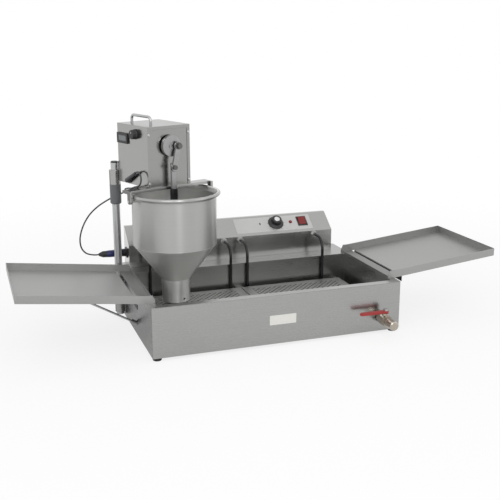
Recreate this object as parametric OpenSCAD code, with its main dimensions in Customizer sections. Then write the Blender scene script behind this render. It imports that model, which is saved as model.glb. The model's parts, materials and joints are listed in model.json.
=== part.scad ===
// Table-top donut fryer: oil pan with two drain trays, control box, and a batter
// depositor whose head, hopper and crank-driven plunger hang on a side column.
// Millimetres, +X to the right, +Y to the back, +Z up, feet on Z = 0.

/* [Tank] */
// Length of the casing
tank_l = 720; // [640:5:860]
// Depth of the casing
tank_d = 460; // [440:5:540]
// Height of the casing, feet left out
tank_h = 139; // [130:1:160]
// Thickness of the sheet steel
sheet = 1.5; // [1:0.1:2]
// Radius of the casing's upright edges
edge_r = 4; // [3:0.5:10]
// Width of the hem folded in under the casing
hem_w = 14; // [10:1:30]
// Rim between the pan and each end of the casing
rim_side = 20; // [16:1:30]
// Rim between the pan and the casing's front
rim_front = 23; // [16:1:30]
// Depth of the pan's opening
pan_d = 309; // [290:1:312]
// Height of the pan's underside above the casing's lower edge
pan_floor = 26; // [22:1:30]
// Diameter of a rubber foot
foot_d = 24; // [18:1:30]
// Height of a rubber foot
foot_h = 9; // [6:1:20]

/* [Screens] */
// Height of the screens' upper face
screen_z = 70; // [66:0.5:72]
// Thickness of a screen
screen_t = 3; // [2:0.5:4]
// Space behind the screens for the rods' upright legs
screen_back = 25; // [20:1:60]
// Gap between the two screens
screen_split = 3; // [1:0.5:6]
// Width of a screen's solid border
screen_rim = 9; // [6:0.5:14]
// Width of the wires between the gaps
screen_wire = 4; // [2:0.5:6]
// Gaps along each side of a screen
screen_gaps = 12; // [6:1:12]
// Gap left open at the pan's right end, over the drain
drain_gap = 30; // [16:1:60]
// Width of the ledges that carry the screens
ledge_w = 10; // [6:1:16]

/* [Heating] */
// Diameter of a heating rod
rod_d = 8.5; // [6:0.5:9]
// Height at which the rods leave the control box
rod_z = 196; // [190:1:197]
// Bend radius over the pan's rear rim
rod_bend = 36; // [30:1:42]
// Bend radius inside the pan
rod_low_bend = 20; // [16:1:24]
// Height of the rods' lower run
rod_low_z = 42; // [38:1:44]
// Distance between the rods' upright legs and the pan's rear wall
rod_gap = 8; // [7:1:18]
// Distance from the pan's front wall to the rods' front run
rod_front_gap = 47; // [20:1:80]
// Place of the left element's first leg
element_x = 70; // [50:1:80]
// Width of one element, leg to leg
element_w = 249; // [200:1:255]
// Distance between the two elements
element_gap = 53; // [50:1:60]
// Width across the flats of a rod fitting's nut
fitting_af = 17; // [15:0.5:19]
// Diameter of a rod fitting's thread
fitting_d = 13; // [12:0.5:14]

/* [Drain valve] */
// Distance of the drain from the casing's right end
drain_inset = 62; // [45:1:90]
// Height of the drain's axis
drain_z = 41; // [41:0.5:46]
// Outside diameter of the drain pipe
pipe_d = 21.3; // [19:0.1:23]
// Bore of the drain pipe
pipe_bore = 16; // [14:0.5:17]
// Gap between the casing and the valve
valve_gap = 4; // [3:1:8]
// Length of the valve's body
valve_len = 52; // [50:1:58]
// Width across the flats of the valve's ends
valve_af = 27; // [26:0.5:30]
// Length of the valve's lever from the stem
lever_l = 78; // [60:1:90]
// Width of the valve's lever
lever_w = 14; // [12:0.5:18]
// Thickness of the valve's lever
lever_t = 7; // [5:0.5:8]
// Diameter of the valve's stem
stem_d = 8; // [7:0.5:9]
// Diameter of the valve's ball
ball_d = 22; // [20:0.5:23]
// Diameter of the outlet's cap
cap_d = 27; // [24:0.5:30]
// Length of the outlet's cap
cap_l = 30; // [24:1:36]

/* [Trays] */
// Reach of a tray beyond the casing's end
tray_l = 333; // [260:1:380]
// Width of a tray, front to back
tray_w = 316; // [260:1:317]
// Distance of a tray's front from the casing's front
tray_inset = 40; // [30:1:41]
// Height of a tray's lips
tray_lip = 22; // [14:1:26]
// Slope of a tray's floor
tray_slope = 6.25; // [4:0.25:8]
// Width of a tray's drain slot
slot_w = 10; // [3:0.5:12]
// Height of a tray's upturned edge beside the oil
hem_h = 7; // [4:0.5:9]
// Depth of the stop folded down outside the casing
stop_h = 14; // [8:1:20]
// Diameter of a tray's brace
brace_d = 6; // [5:0.5:8]
// Slope of a brace
brace_slope = 30; // [26:1:34]
// Height at which a brace meets the casing
brace_z = 37; // [30:1:44]

/* [Control box] */
// Distance of the control box from the casing's left end
case_x = 22; // [20:1:40]
// Length of the control box
case_l = 658; // [640:1:670]
// Depth of the control box
case_d = 72; // [68:1:75]
// Height of the fold between the front and the panel
fold_z = 207.5; // [205:0.5:215]
// Height of the control box's ridge
ridge_z = 254; // [248:1:262]
// Depth of the sloped panel, seen from above
panel_d = 61; // [54:1:64]
// Place of the thermostat knob along the casing
knob_x = 501; // [480:1:520]
// Diameter of the thermostat knob's skirt
knob_d = 50; // [40:1:54]
// Height of the thermostat knob
knob_h = 20; // [16:1:26]
// Place of the pilot lamp along the casing
lamp_x = 551; // [535:1:558]
// Diameter of the pilot lamp's lens
lamp_d = 11; // [8:0.5:14]
// Place of the rocker switch along the casing
switch_x = 590; // [580:1:620]
// Width of the rocker
rocker_w = 24; // [20:1:26]
// Length of the rocker
rocker_l = 29; // [25:1:32]
// Bore of the mains gland
gland_bore = 10; // [8:0.5:12]
// Length of the mains gland behind the back cover
gland_l = 22; // [16:1:30]
// Diameter of the screws
screw_d = 4; // [3:0.5:5]

/* [Column] */
// Outside diameter of the column
col_d = 22; // [20:0.5:25]
// Wall of the column's tube
col_wall = 2; // [1.5:0.25:3]
// Gap between the column and the casing
col_gap = 2; // [1:0.5:4]
// Distance of the column from the casing's front
col_y = 375; // [373:1:378]
// Height of the column's top
col_top = 461; // [456:1:480]
// Diameter of the height collar and the head's sleeve
collar_d = 32; // [30:0.5:34]
// Height of the collar's lower edge
collar_z = 341; // [330:1:345]
// Length of the collar
collar_l = 58; // [50:1:62]
// Length of the head's sleeve
sleeve_l = 41; // [36:1:46]

/* [Head] */
// Turn of the head about the column
head_turn = 20; // [10:1:25]
// Width of the head's box
head_w = 139; // [132:1:150]
// Depth of the head's box
head_d = 154; // [150:1:165]
// Height of the head's box
head_h = 166; // [155:1:175]
// Height of the head's lower face
head_z = 410; // [408:0.5:418]
// Width of the cover's flange round the front plate
head_lip = 9; // [7:0.5:12]
// Span of the carrying handle
handle_span = 98; // [80:1:100]
// Height of the carrying handle
handle_h = 24; // [20:1:34]
// Diameter of the carrying handle's bar
handle_d = 8; // [6:0.5:10]
// Width of the display's bezel
display_w = 54; // [46:1:62]
// Height of the display's bezel
display_h = 29; // [24:1:34]
// Diameter of the speed knob
speed_d = 28; // [22:1:30]
// Height of the speed knob
speed_h = 15; // [12:1:18]

/* [Crank] */
// Height of the crank's axis above the head's lower face
crank_up = 112; // [102:1:116]
// Diameter of the crank disc
crank_d = 58; // [50:1:60]
// Thickness of the crank disc
crank_t = 10; // [8:0.5:11]
// Throw of the crank
crank_r = 14; // [12:0.5:16]
// Turn of the crank to each side of its rest
crank_turn = 35; // [20:1:38]
// Diameter of the crank's shaft
shaft_d = 12; // [10:0.5:14]
// Diameter of the crank pin
crank_pin_d = 8; // [6:0.5:8]
// Thickness of the connecting link
link_t = 6; // [5:0.5:7]
// Width of the connecting link
link_w = 15; // [12:0.5:17]
// Height of the link's lower pin above the head's lower face
link_up = 54; // [46:1:57]
// Diameter of the link's lower pin
link_pin_d = 6; // [5:0.5:7]

/* [Hopper] */
// Outside diameter of the hopper
hop_d = 234; // [210:1:240]
// Height of the hopper's rim
hop_z = 398; // [392:0.5:400]
// Height of the seam between the hopper's cylinder and cone
hop_seam_z = 251; // [236:1:262]
// Height of the cone's lower edge
hop_cone_z = 150; // [148:1:156]
// Radius of the hopper's rolled rim
bead_r = 5; // [3:0.5:5]
// Outside diameter of the nozzle
nozzle_d = 80; // [76:1:82]
// Wall of the nozzle
nozzle_wall = 3; // [2:0.5:4]
// Height of the nozzle's mouth
nozzle_z = 86; // [85:0.5:92]
// Diameter of the plunger's rod
plunger_d = 16; // [14:0.5:17]
// Distance of the plunger in front of the head's front plate
plunger_out = 20; // [19.5:0.5:22]
// Thickness of the hopper's yoke
yoke_t = 8; // [6:0.5:8]
// Depth of the yoke's bar
yoke_d = 32; // [24:1:40]
// Diameter of the hopper's hanging studs
stud_d = 8; // [6:0.5:10]

/* [Lead] */
// Diameter of the head's lead
lead_d = 4.5; // [4:0.25:5]
// Diameter of the lead's plug
plug_d = 21; // [18:0.5:24]
// Distance of the plug's socket behind the control box's front
socket_in = 37; // [32:1:42]
// Height of the lead's socket
socket_z = 179; // [176:1:182]

/* [Fits] */
// Radial play of a turning or sliding fit
fit = 0.05; // [0.03:0.01:0.1]
// Gap between pieces that pass each other
clear = 0.5; // [0.3:0.1:1]

/* [Hidden] */
$fn = 48;

// Cut past a face, so that no skin is left
over = 1;

// Pan and casing
pan_w = tank_l - 2 * rim_side;
pan_back = rim_front + pan_d;
deck_under = tank_h - sheet;
nut_t = 8;
// Deck behind the pan: room for a rod's bend and its nut in front of the control box
rear_deck = rod_bend + nut_t + 2 * clear - rod_gap;
casing_d = max(tank_d, pan_back + rear_deck + case_d);
case_front = casing_d - case_d;
panel_tilt = atan((ridge_z - fold_z) / panel_d);
panel_len = norm([panel_d, ridge_z - fold_z]);
panel_mid = panel_len * 0.56;
case_end = case_x + case_l;
ridge_y = case_front + panel_d;
socket_y = case_front + socket_in;

// Valve along the drain's axis, towards the front
drain_x = tank_l - drain_inset;
valve_mid = -valve_gap - valve_len / 2;
valve_end_l = 14;
bonnet_up = 21;
stem_up = bonnet_up + lever_t + 6;
mid_y = (casing_d + gland_l - valve_gap - valve_len - cap_l) / 2;

// Heating rods
leg_y = pan_back - rod_gap;
leg_x = [
    element_x, element_x + element_w,
    element_x + element_w + element_gap, element_x + 2 * element_w + element_gap
];
rod_tail = 26;

// Screens and their ledges
screen_in = 4;
screen_y = rim_front + screen_in;
screen_d = pan_d - screen_in - screen_back;
screen_w = (pan_w - clear - screen_split - drain_gap) / 2;
screen_end = rim_side + clear + 2 * screen_w + screen_split;
ledge_t = 3;
ledge_top = screen_z - screen_t;

// Trays, braces and the stop folded down from each tray
slot_out = 15;
stop_out = slot_out + slot_w + 1;
lug_t = 4;
brace_y = tray_inset + tray_w / 2;
cup_l = 26;
cup_d = brace_d + 6;
brace_foot = 8;
brace_top_x = (tank_h - brace_z - brace_d - lug_t + brace_foot * tan(brace_slope))
    / (tan(brace_slope) - tan(tray_slope));
brace_top_z = brace_z + (brace_top_x - brace_foot) * tan(brace_slope);

// Column, collar and sleeve
col_x = -col_gap - col_d / 2;
col_foot = 6;
bracket_h = 24;
bracket_z = [14, 100];
sleeve_z = collar_z + collar_l + fit;
thumb_d = 5;
thumb_z = collar_z + collar_l * 0.75;

// Head's box in the column's turned frame: u across the front, v to the back
head_back = -collar_d / 2 - 3;
head_front = head_back - head_d;
head_u = 3;
head_mid = head_u + head_w / 2;
head_top = head_z + head_h;
plate_t = 6;
bush_t = 4;
disc_out = bush_t + 2;
disc_face = disc_out + crank_t;
link_out = disc_face + 6;
crank_z = head_z + crank_up;
link_z = head_z + link_up;
eye_r = crank_pin_d / 2 + crank_r * (1 - cos(crank_turn)) + 0.6;
gearbox_size = [64, 46, 68];
motor_d = 60;
motor_l = 76;
plunger_v = head_front - plunger_out;
plunger_top = link_z + 12;
plunger_foot = nozzle_z - 5;
piston_z = nozzle_z + 26;
piston_t = 14;

// Hopper and yoke
spigot_r = nozzle_d / 2 + fit + sheet;
flare = 3;
yoke_in = hop_d / 2 + flare + 2 * bead_r - sheet + 1;
coupling_d = plunger_d + 5;
yoke_v = plunger_v + coupling_d / 2 + 2.5;
lug_v = plunger_v + 12;
lug_r = stud_d / 2 + 4;
stud_z = hop_z - 2 * bead_r - stud_d / 2 - 1;

// Face of the head that carries the display
display_v = head_back - 4 - display_w / 2;
display_z = head_top - 40;
speed_v = head_back - 96;
speed_z = head_top - 24;
elbow_v = head_back - 58;
elbow_z = head_z + 11;
elbow_out = 9;
boot_l = 46;
boot_rise = 26;

// Lead's route: a loop in the head's turned frame, then points in the tank's frame down to the plug
lead_loop = [
    [-6, -123.4, 447.2], [-6.3, -126.9, 449.2], [-7.2, -138.4, 451.7], [-8.2, -149.6, 447.1],
    [-9.3, -156, 437], [-10.4, -155.5, 425], [-11.5, -148.2, 415.4], [-12.6, -138.4, 411.9],
    [-13.5, -129, 409.5], [-14.1, -120.8, 406.6]
];
lead_drop = [
    [12, 264, 404], [7, 286, 400.5], [5, 312, 394.5], [7, 338, 385.5], [10, 364, 375.5],
    [6, 388, 367], [-10, 400, 358], [-34, 404, 346], [-60, 406, 330], [-84, 409, 308], [-101, 412, 282],
    [-112, 415, 254], [-116, 418, 228], [-112, 421, 204], [-99, 424, 187], [-79, 425, 180], [-62, 425, 179]
];
drop_end = len(lead_drop) - 1;
lead_route = concat([for (p = lead_loop) [
    col_x + p[0] * cos(head_turn) - p[1] * sin(head_turn),
    col_y + p[0] * sin(head_turn) + p[1] * cos(head_turn), p[2]
]], [for (i = [0 : drop_end]) lead_drop[i] + [0, (socket_y - lead_drop[drop_end][1]) * i / drop_end, 0]]);
lead_steps = 3;
lead_sides = 8;

// Frames: the tank's front left lower corner, and the column's turned frame
module in_tank() {
    translate([-tank_l / 2, -mid_y, foot_h]) children();
}

module in_head() {
    in_tank() translate([col_x, col_y, 0]) rotate([0, 0, head_turn]) children();
}

// Places a piece on the head's front plate, z outwards
module on_front(u, z, out = 0) {
    in_head() translate([u, head_front - out, z]) rotate([90, 0, 0]) children();
}

// Places a piece on the head's display side, z outwards, x up
module on_side(v, z) {
    in_head() translate([head_u, v, z]) rotate([0, -90, 0]) children();
}

// Places a piece on the sloped panel, y up the slope, z outwards
module on_panel(x, up) {
    in_tank() translate([x, case_front, fold_z]) rotate([panel_tilt, 0, 0]) translate([0, up, 0])
        children();
}

// Shapes used by several pieces
module rounded_rect(w, d, r) {
    translate([r, 0]) square([w - 2 * r, d]);
    translate([0, r]) square([w, d - 2 * r]);
    for (x = [r, w - r], y = [r, d - r]) translate([x, y]) circle(r);
}

module along_y(l, d) {
    rotate([90, 0, 0]) cylinder(h = l, d = d);
}

module hex_nut(af, h, bore) {
    difference() {
        cylinder(h = h, d = af / cos(30), $fn = 6);
        translate([0, 0, -over]) cylinder(h = h + 2 * over, d = bore);
    }
}

module quarter_bend(r, d) {
    rotate_extrude(angle = 90) translate([r, 0]) circle(d = d);
}

module pan_screw(l) {
    head_r = screw_d;
    rotate_extrude() polygon([[0, -l], [screw_d / 2, -l], [screw_d / 2, 0], [head_r, 0], [head_r, 1.4],
        [head_r * 0.7, 2.4], [0, 2.4]]);
}

// Tank
module outer_casing() {
    color("silver") in_tank() difference() {
        linear_extrude(deck_under) rounded_rect(tank_l, casing_d, edge_r);
        translate([sheet, sheet, sheet]) linear_extrude(tank_h)
            rounded_rect(tank_l - 2 * sheet, casing_d - 2 * sheet, edge_r - sheet);
        translate([hem_w, hem_w, -over]) cube([tank_l - 2 * hem_w, casing_d - 2 * hem_w, sheet + 2 * over]);
        translate([drain_x, sheet + over, drain_z]) along_y(sheet + 2 * over, pipe_d + 2 * clear);
    }
}

module oil_pan() {
    color("gainsboro") in_tank() difference() {
        union() {
            translate([0, 0, deck_under]) linear_extrude(sheet) rounded_rect(tank_l, casing_d, edge_r);
            translate([rim_side - sheet, rim_front - sheet, pan_floor])
                cube([pan_w + 2 * sheet, pan_d + 2 * sheet, tank_h - pan_floor - sheet / 2]);
        }
        translate([rim_side, rim_front, pan_floor + sheet]) cube([pan_w, pan_d, tank_h]);
        translate([drain_x, rim_front + over, drain_z]) along_y(sheet + 2 * over, pipe_bore);
    }
}

module base_plate() {
    inset = sheet + clear;
    color("darkgray") in_tank() translate([inset, inset, sheet])
        linear_extrude(sheet) rounded_rect(tank_l - 2 * inset, casing_d - 2 * inset, edge_r - sheet);
}

module rubber_feet() {
    chamfer = 1.5;
    inset = foot_d / 2 + 3;
    color("black") in_tank() for (x = [inset, tank_l - inset], y = [inset, casing_d - inset])
        translate([x, y, -foot_h]) rotate_extrude()
            polygon([[0, 0], [foot_d / 2 - chamfer, 0], [foot_d / 2, chamfer], [foot_d / 2, foot_h],
                [0, foot_h]]);
}

// Drain and ball valve
module drain_pipe() {
    reach = rim_front - sheet + valve_gap + valve_end_l;
    color("silver") in_tank() translate([drain_x, rim_front - sheet, drain_z]) difference() {
        along_y(reach, pipe_d);
        translate([0, over, 0]) along_y(reach + 2 * over, pipe_bore);
    }
}

module valve_body() {
    barrel_d = 32;
    color("rosybrown") in_tank() translate([drain_x, valve_mid, drain_z]) difference() {
        union() {
            for (y = [valve_len / 2, -valve_len / 2 + valve_end_l]) translate([0, y, 0])
                rotate([90, 0, 0]) cylinder(h = valve_end_l, d = valve_af / cos(30), $fn = 6);
            translate([0, valve_len / 2 - valve_end_l, 0]) along_y(valve_len - 2 * valve_end_l, barrel_d);
            cylinder(h = bonnet_up, d = stem_d + 10);
        }
        translate([0, valve_len / 2 + over, 0]) along_y(valve_len + 2 * over, pipe_bore - 1);
        translate([0, valve_len / 2 + over, 0]) along_y(valve_end_l + over, pipe_d + 2 * fit);
        translate([0, -valve_len / 2 + valve_end_l, 0]) along_y(valve_end_l + over, pipe_d - 2);
        sphere(d = ball_d + 2 * clear);
        cylinder(h = bonnet_up + over, d = stem_d + 2 * fit);
    }
}

module valve_end_cap() {
    thread_l = valve_end_l - 2;
    color("silver") in_tank() translate([drain_x, valve_mid - valve_len / 2, drain_z]) rotate([90, 0, 0])
        rotate_extrude() polygon([[0, -thread_l], [pipe_d / 2 - 1 - fit, -thread_l],
            [pipe_d / 2 - 1 - fit, 0],
            [cap_d / 2, 0], [cap_d / 2, cap_l - 3], [cap_d / 2 - 3, cap_l], [0, cap_l]]);
}

module valve_stem() {
    color("lightgray") in_tank() translate([drain_x, valve_mid, drain_z]) {
        difference() {
            union() {
                sphere(d = ball_d);
                cylinder(h = stem_up, d = stem_d);
            }
            translate([-ball_d, 0, 0]) rotate([0, 90, 0]) cylinder(h = 2 * ball_d, d = pipe_bore - 4);
        }
        translate([0, 0, bonnet_up + clear + lever_t + 0.1]) hex_nut(13, 5, stem_d + 2 * fit);
    }
}

module valve_lever() {
    color("firebrick") in_tank() translate([drain_x, valve_mid, drain_z + bonnet_up + clear])
        linear_extrude(lever_t) difference() {
            union() {
                circle(d = lever_w + 4);
                translate([-lever_l + lever_w / 2, -lever_w / 2]) square([lever_l - lever_w / 2, lever_w]);
                translate([-lever_l + lever_w / 2, 0]) circle(d = lever_w);
            }
            circle(d = stem_d + 2 * fit);
        }
}

// Heating rods: from the control box over the rear rim, down and round under the screens
module heating_element(xa, xb) {
    tail_y = case_front + rod_tail;
    front_y = rim_front + rod_front_gap;
    color("dimgray") in_tank() {
        for (x = [xa, xb]) {
            translate([x, tail_y, rod_z]) along_y(tail_y - leg_y - rod_bend, rod_d);
            translate([x, leg_y + rod_bend, rod_z - rod_bend]) rotate([90, 0, -90])
                quarter_bend(rod_bend, rod_d);
            translate([x, leg_y, rod_low_z + rod_low_bend])
                cylinder(h = rod_z - rod_bend - rod_low_z - rod_low_bend, d = rod_d);
            translate([x, leg_y - rod_low_bend, rod_low_z + rod_low_bend]) rotate([-90, 0, 90])
                quarter_bend(rod_low_bend, rod_d);
            translate([x, leg_y - rod_low_bend, rod_low_z])
                along_y(leg_y - front_y - 2 * rod_low_bend, rod_d);
        }
        translate([xa + rod_low_bend, front_y + rod_low_bend, rod_low_z]) rotate([0, 0, 180])
            quarter_bend(rod_low_bend, rod_d);
        translate([xb - rod_low_bend, front_y + rod_low_bend, rod_low_z]) rotate([0, 0, -90])
            quarter_bend(rod_low_bend, rod_d);
        translate([xa + rod_low_bend, front_y, rod_low_z]) rotate([0, 90, 0])
            cylinder(h = xb - xa - 2 * rod_low_bend, d = rod_d);
    }
}

module heating_element_left() {
    heating_element(leg_x[0], leg_x[1]);
}

module heating_element_right() {
    heating_element(leg_x[2], leg_x[3]);
}

module element_fittings() {
    color("lightgray") in_tank() for (x = leg_x) translate([x, case_front, rod_z]) rotate([90, 0, 0])
        difference() {
            union() {
                cylinder(h = nut_t, d = fitting_af / cos(30), $fn = 6);
                translate([0, 0, -nut_t]) cylinder(h = nut_t + over, d = fitting_d);
                translate([0, 0, -nut_t]) cylinder(h = nut_t - sheet, d = fitting_d + 4);
            }
            translate([0, 0, -nut_t - over]) cylinder(h = 2 * nut_t + 2 * over, d = rod_d + 2 * fit);
        }
}

// Frying screens on their ledges
module frying_screen(x) {
    gap_x = (screen_w - 2 * screen_rim + screen_wire) / screen_gaps;
    gap_y = (screen_d - 2 * screen_rim + screen_wire) / screen_gaps;
    color("lightgray") in_tank() translate([x, screen_y, ledge_top]) linear_extrude(screen_t) difference() {
        square([screen_w, screen_d]);
        for (i = [0 : screen_gaps - 1], j = [0 : screen_gaps - 1])
            translate([screen_rim + i * gap_x, screen_rim + j * gap_y])
                square([gap_x - screen_wire, gap_y - screen_wire]);
    }
}

module left_screen() {
    frying_screen(rim_side + clear);
}

module right_screen() {
    frying_screen(screen_end - screen_w);
}

module screen_rests() {
    middle = screen_end - screen_w - screen_split / 2;
    color("gray") in_tank() difference() {
        for (x = [rim_side, middle - ledge_w, screen_end - ledge_w])
            translate([x, rim_front, ledge_top - ledge_t])
                cube([x == middle - ledge_w ? 2 * ledge_w : ledge_w, pan_d, ledge_t]);
        for (x = leg_x) translate([x, leg_y, ledge_top - ledge_t - over])
            cylinder(h = ledge_t + 2 * over, d = rod_d + 4 * clear);
    }
}

// Trays: hemmed seat on the rim, drain slot with a drip plate behind it, sloped floor, lips, brace lug
module tray() {
    rise = tan(tray_slope);
    end_z = tray_l * rise;
    slot_l = tray_w - 12;
    stop_l = slot_l + 4;
    floor_line = [[-rim_side, 0], [0, 0], [tray_l, end_z], [tray_l, end_z + sheet], [0, sheet],
        [-rim_side, sheet]];
    side_line = [[-rim_side, 0], [0, 0], [tray_l, end_z], [tray_l, end_z + tray_lip], [0, tray_lip],
        [-rim_side + 7, tray_lip], [-rim_side, hem_h]];
    lug_z = brace_top_z - tank_h;
    difference() {
        union() {
            translate([0, tray_inset + tray_w, 0]) rotate([90, 0, 0]) linear_extrude(tray_w)
                polygon(floor_line);
            for (y = [sheet, tray_w]) translate([0, tray_inset + y, 0]) rotate([90, 0, 0])
                linear_extrude(sheet) polygon(side_line);
            translate([tray_l - sheet, tray_inset, end_z]) cube([sheet, tray_w, tray_lip]);
            translate([-rim_side, tray_inset, 0]) cube([sheet, tray_w, hem_h]);
            translate([stop_out, tray_inset + (tray_w - stop_l) / 2, -stop_h]) cube([sheet, stop_l,
                stop_h + sheet / 2 + stop_out * rise]);
        }
        translate([slot_out, tray_inset + (tray_w - slot_l) / 2, -over]) cube([slot_w, slot_l, tray_lip]);
    }
    // Lug and pin that hold the brace's upper eye
    difference() {
        union() {
            translate([brace_top_x - brace_d, brace_y - lug_t - clear, lug_z])
                cube([2 * brace_d, lug_t, (brace_top_x - brace_d) * rise - lug_z + sheet / 2]);
            translate([brace_top_x, brace_y - clear, lug_z]) rotate([90, 0, 0]) cylinder(h = lug_t,
                r = brace_d);
        }
        translate([-over, brace_y - tray_w / 2 + 2 * sheet, brace_top_x * rise + 2 * sheet])
            cube([tray_l, tray_w - 4 * sheet, tray_lip]);
    }
    translate([brace_top_x, brace_y + lug_t, lug_z]) rotate([90, 0, 0])
        cylinder(h = 2 * lug_t, d = brace_d);
}

// Brace: eye on the tray's pin, straight rod, tip in the casing's cup
module brace() {
    rod_l = (brace_top_x - brace_foot) / cos(brace_slope);
    difference() {
        union() {
            translate([brace_foot, brace_y + lug_t / 2, brace_z - tank_h]) rotate([0, 90 - brace_slope, 0])
                cylinder(h = rod_l, d = brace_d);
            translate([brace_top_x, brace_y + lug_t, brace_top_z - tank_h]) rotate([90, 0, 0])
                cylinder(h = lug_t, d = 2 * brace_d);
        }
        translate([brace_top_x, brace_y + lug_t + over, brace_top_z - tank_h]) rotate([90, 0, 0])
            cylinder(h = lug_t + 2 * over, d = brace_d + 2 * fit);
    }
}

module on_right_rim() {
    in_tank() translate([tank_l, 0, tank_h]) children();
}

module on_left_rim() {
    in_tank() translate([0, 0, tank_h]) mirror([1, 0, 0]) children();
}

module left_tray() {
    color("silver") on_left_rim() tray();
}

module right_tray() {
    color("silver") on_right_rim() tray();
}

module left_brace() {
    color("lightgray") on_left_rim() brace();
}

module right_brace() {
    color("lightgray") on_right_rim() brace();
}

// Short sloped tube on the casing's end that takes the brace's tip
module brace_cup() {
    difference() {
        translate([brace_foot, brace_y + lug_t / 2, brace_z - tank_h]) rotate([0, 90 - brace_slope, 0])
            translate([0, 0, -cup_l]) cylinder(h = cup_l + 10, d = cup_d);
        translate([brace_foot, brace_y + lug_t / 2, brace_z - tank_h]) rotate([0, 90 - brace_slope, 0])
            translate([0, 0, -fit]) cylinder(h = cup_l, d = brace_d + 2 * clear);
        translate([-cup_l * 2, brace_y - cup_d, brace_z - tank_h - cup_l * 2])
            cube([cup_l * 2, cup_d * 2 + lug_t, cup_l * 4]);
    }
}

module brace_cups() {
    color("lightgray") {
        on_left_rim() brace_cup();
        on_right_rim() brace_cup();
    }
}

// Control box
module control_case() {
    slope = tan(panel_tilt);
    skin = sheet / cos(panel_tilt);
    outer = [[case_front, tank_h], [case_front, fold_z], [ridge_y, ridge_z], [casing_d, ridge_z],
        [casing_d, tank_h]];
    inner = [[case_front + sheet, tank_h - over], [case_front + sheet, fold_z + sheet * slope - skin],
        [case_front + (ridge_z - sheet - fold_z + skin) / slope, ridge_z - sheet],
        [casing_d + over, ridge_z - sheet], [casing_d + over, tank_h - over]];
    tab = 16;
    color("silver") difference() {
        in_tank() union() {
            difference() {
                translate([case_x, 0, 0]) rotate([90, 0, 90]) linear_extrude(case_l) polygon(outer);
                translate([case_x + sheet, 0, 0]) rotate([90, 0, 90])
                    linear_extrude(case_l - 2 * sheet) polygon(inner);
            }
            for (x = [case_x + sheet / 2, case_end - sheet / 2 - tab], z = back_screw_z)
                translate([x, casing_d - 3 * sheet, z - tab / 2]) cube([tab, 2 * sheet, tab]);
        }
        in_tank() {
            for (x = leg_x) translate([x, case_front + sheet + over, rod_z])
                along_y(sheet + 2 * over, fitting_d + 2 * fit);
            translate([case_x - over, socket_y, socket_z]) rotate([0, 90, 0])
                cylinder(h = sheet + 2 * over, d = plug_d - 1 + 2 * fit);
            for (x = back_screw_x, z = back_screw_z) translate([x, casing_d + over, z])
                along_y(4 * sheet + over, screw_d + 2 * fit);
        }
        on_panel(knob_x, panel_mid) translate([0, 0, -4 * sheet]) cylinder(h = 8 * sheet, d = 10);
        on_panel(lamp_x, panel_mid) translate([0, 0, -4 * sheet]) cylinder(h = 8 * sheet,
            d = lamp_d - 3 + 2 * fit);
        on_panel(switch_x, panel_mid) translate([-switch_w / 2, -switch_l / 2, -4 * sheet])
            cube([switch_w, switch_l, 8 * sheet]);
    }
}
back_screw_x = [case_x + 9, case_end - 9];
back_screw_z = [tank_h + 14, ridge_z - 14];
switch_w = rocker_w + 4;
switch_l = rocker_l + 4;

module control_back_cover() {
    gap = sheet + 0.1;
    color("silver") in_tank() difference() {
        translate([case_x + gap, casing_d - sheet, tank_h])
            cube([case_l - 2 * gap, sheet, ridge_z - tank_h - gap]);
        translate([gland_x, casing_d + over, gland_z]) along_y(sheet + 2 * over, gland_bore + 6 + 2 * fit);
        for (x = back_screw_x, z = back_screw_z) translate([x, casing_d + over, z])
            along_y(sheet + 2 * over, screw_d + 2 * fit);
    }
}
gland_x = case_end - 90;
gland_z = tank_h + 50;

module case_screws() {
    color("gray") in_tank() for (x = back_screw_x, z = back_screw_z)
        translate([x, casing_d, z]) rotate([-90, 0, 0]) pan_screw(8);
}

// Thermostat with its knob, rocker switch and lamp on the panel
module thermostat_knob() {
    grip_d = knob_d * 0.66;
    color("black") on_panel(knob_x, panel_mid) translate([0, 0, clear]) difference() {
        union() {
            rotate_extrude() polygon([[0, 0], [knob_d / 2, 0], [knob_d / 2, 2], [knob_d / 2 - 3, 4],
                [grip_d / 2, 5.5], [grip_d / 2 - 1, knob_h - 1.5], [grip_d / 2 - 2.5, knob_h], [0,
                    knob_h]]);
            translate([-1.5, grip_d / 2 - 3, 4]) cube([3, 4, knob_h - 5]);
        }
        translate([0, 0, -over]) cylinder(h = knob_h * 0.7 + over, d = 6 + 2 * fit);
    }
}

module thermostat_body() {
    color("tan") on_panel(knob_x, panel_mid) {
        translate([-20, -20, -sheet - 26]) cube([40, 40, 26]);
        translate([0, 0, -sheet - over]) cylinder(h = sheet + over + knob_h * 0.6, d = 6);
    }
}

module switch_body() {
    depth = 22;
    flange = 2;
    color("black") on_panel(switch_x, panel_mid) difference() {
        union() {
            translate([-switch_w / 2 - 2, -switch_l / 2 - 2, 0]) cube([switch_w + 4, switch_l + 4, flange]);
            translate([-switch_w / 2 + fit, -switch_l / 2 + fit, -depth])
                cube([switch_w - 2 * fit, switch_l - 2 * fit, depth + over]);
        }
        translate([-rocker_w / 2 - clear, -rocker_l / 2 - clear, -depth + 4])
            cube([rocker_w + 2 * clear, rocker_l + 2 * clear, depth + flange]);
        translate([-rocker_w / 2 - 1.5, 0, 0]) rotate([0, 90, 0]) cylinder(h = rocker_w + 3,
            d = 3 + 2 * fit);
    }
}

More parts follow.
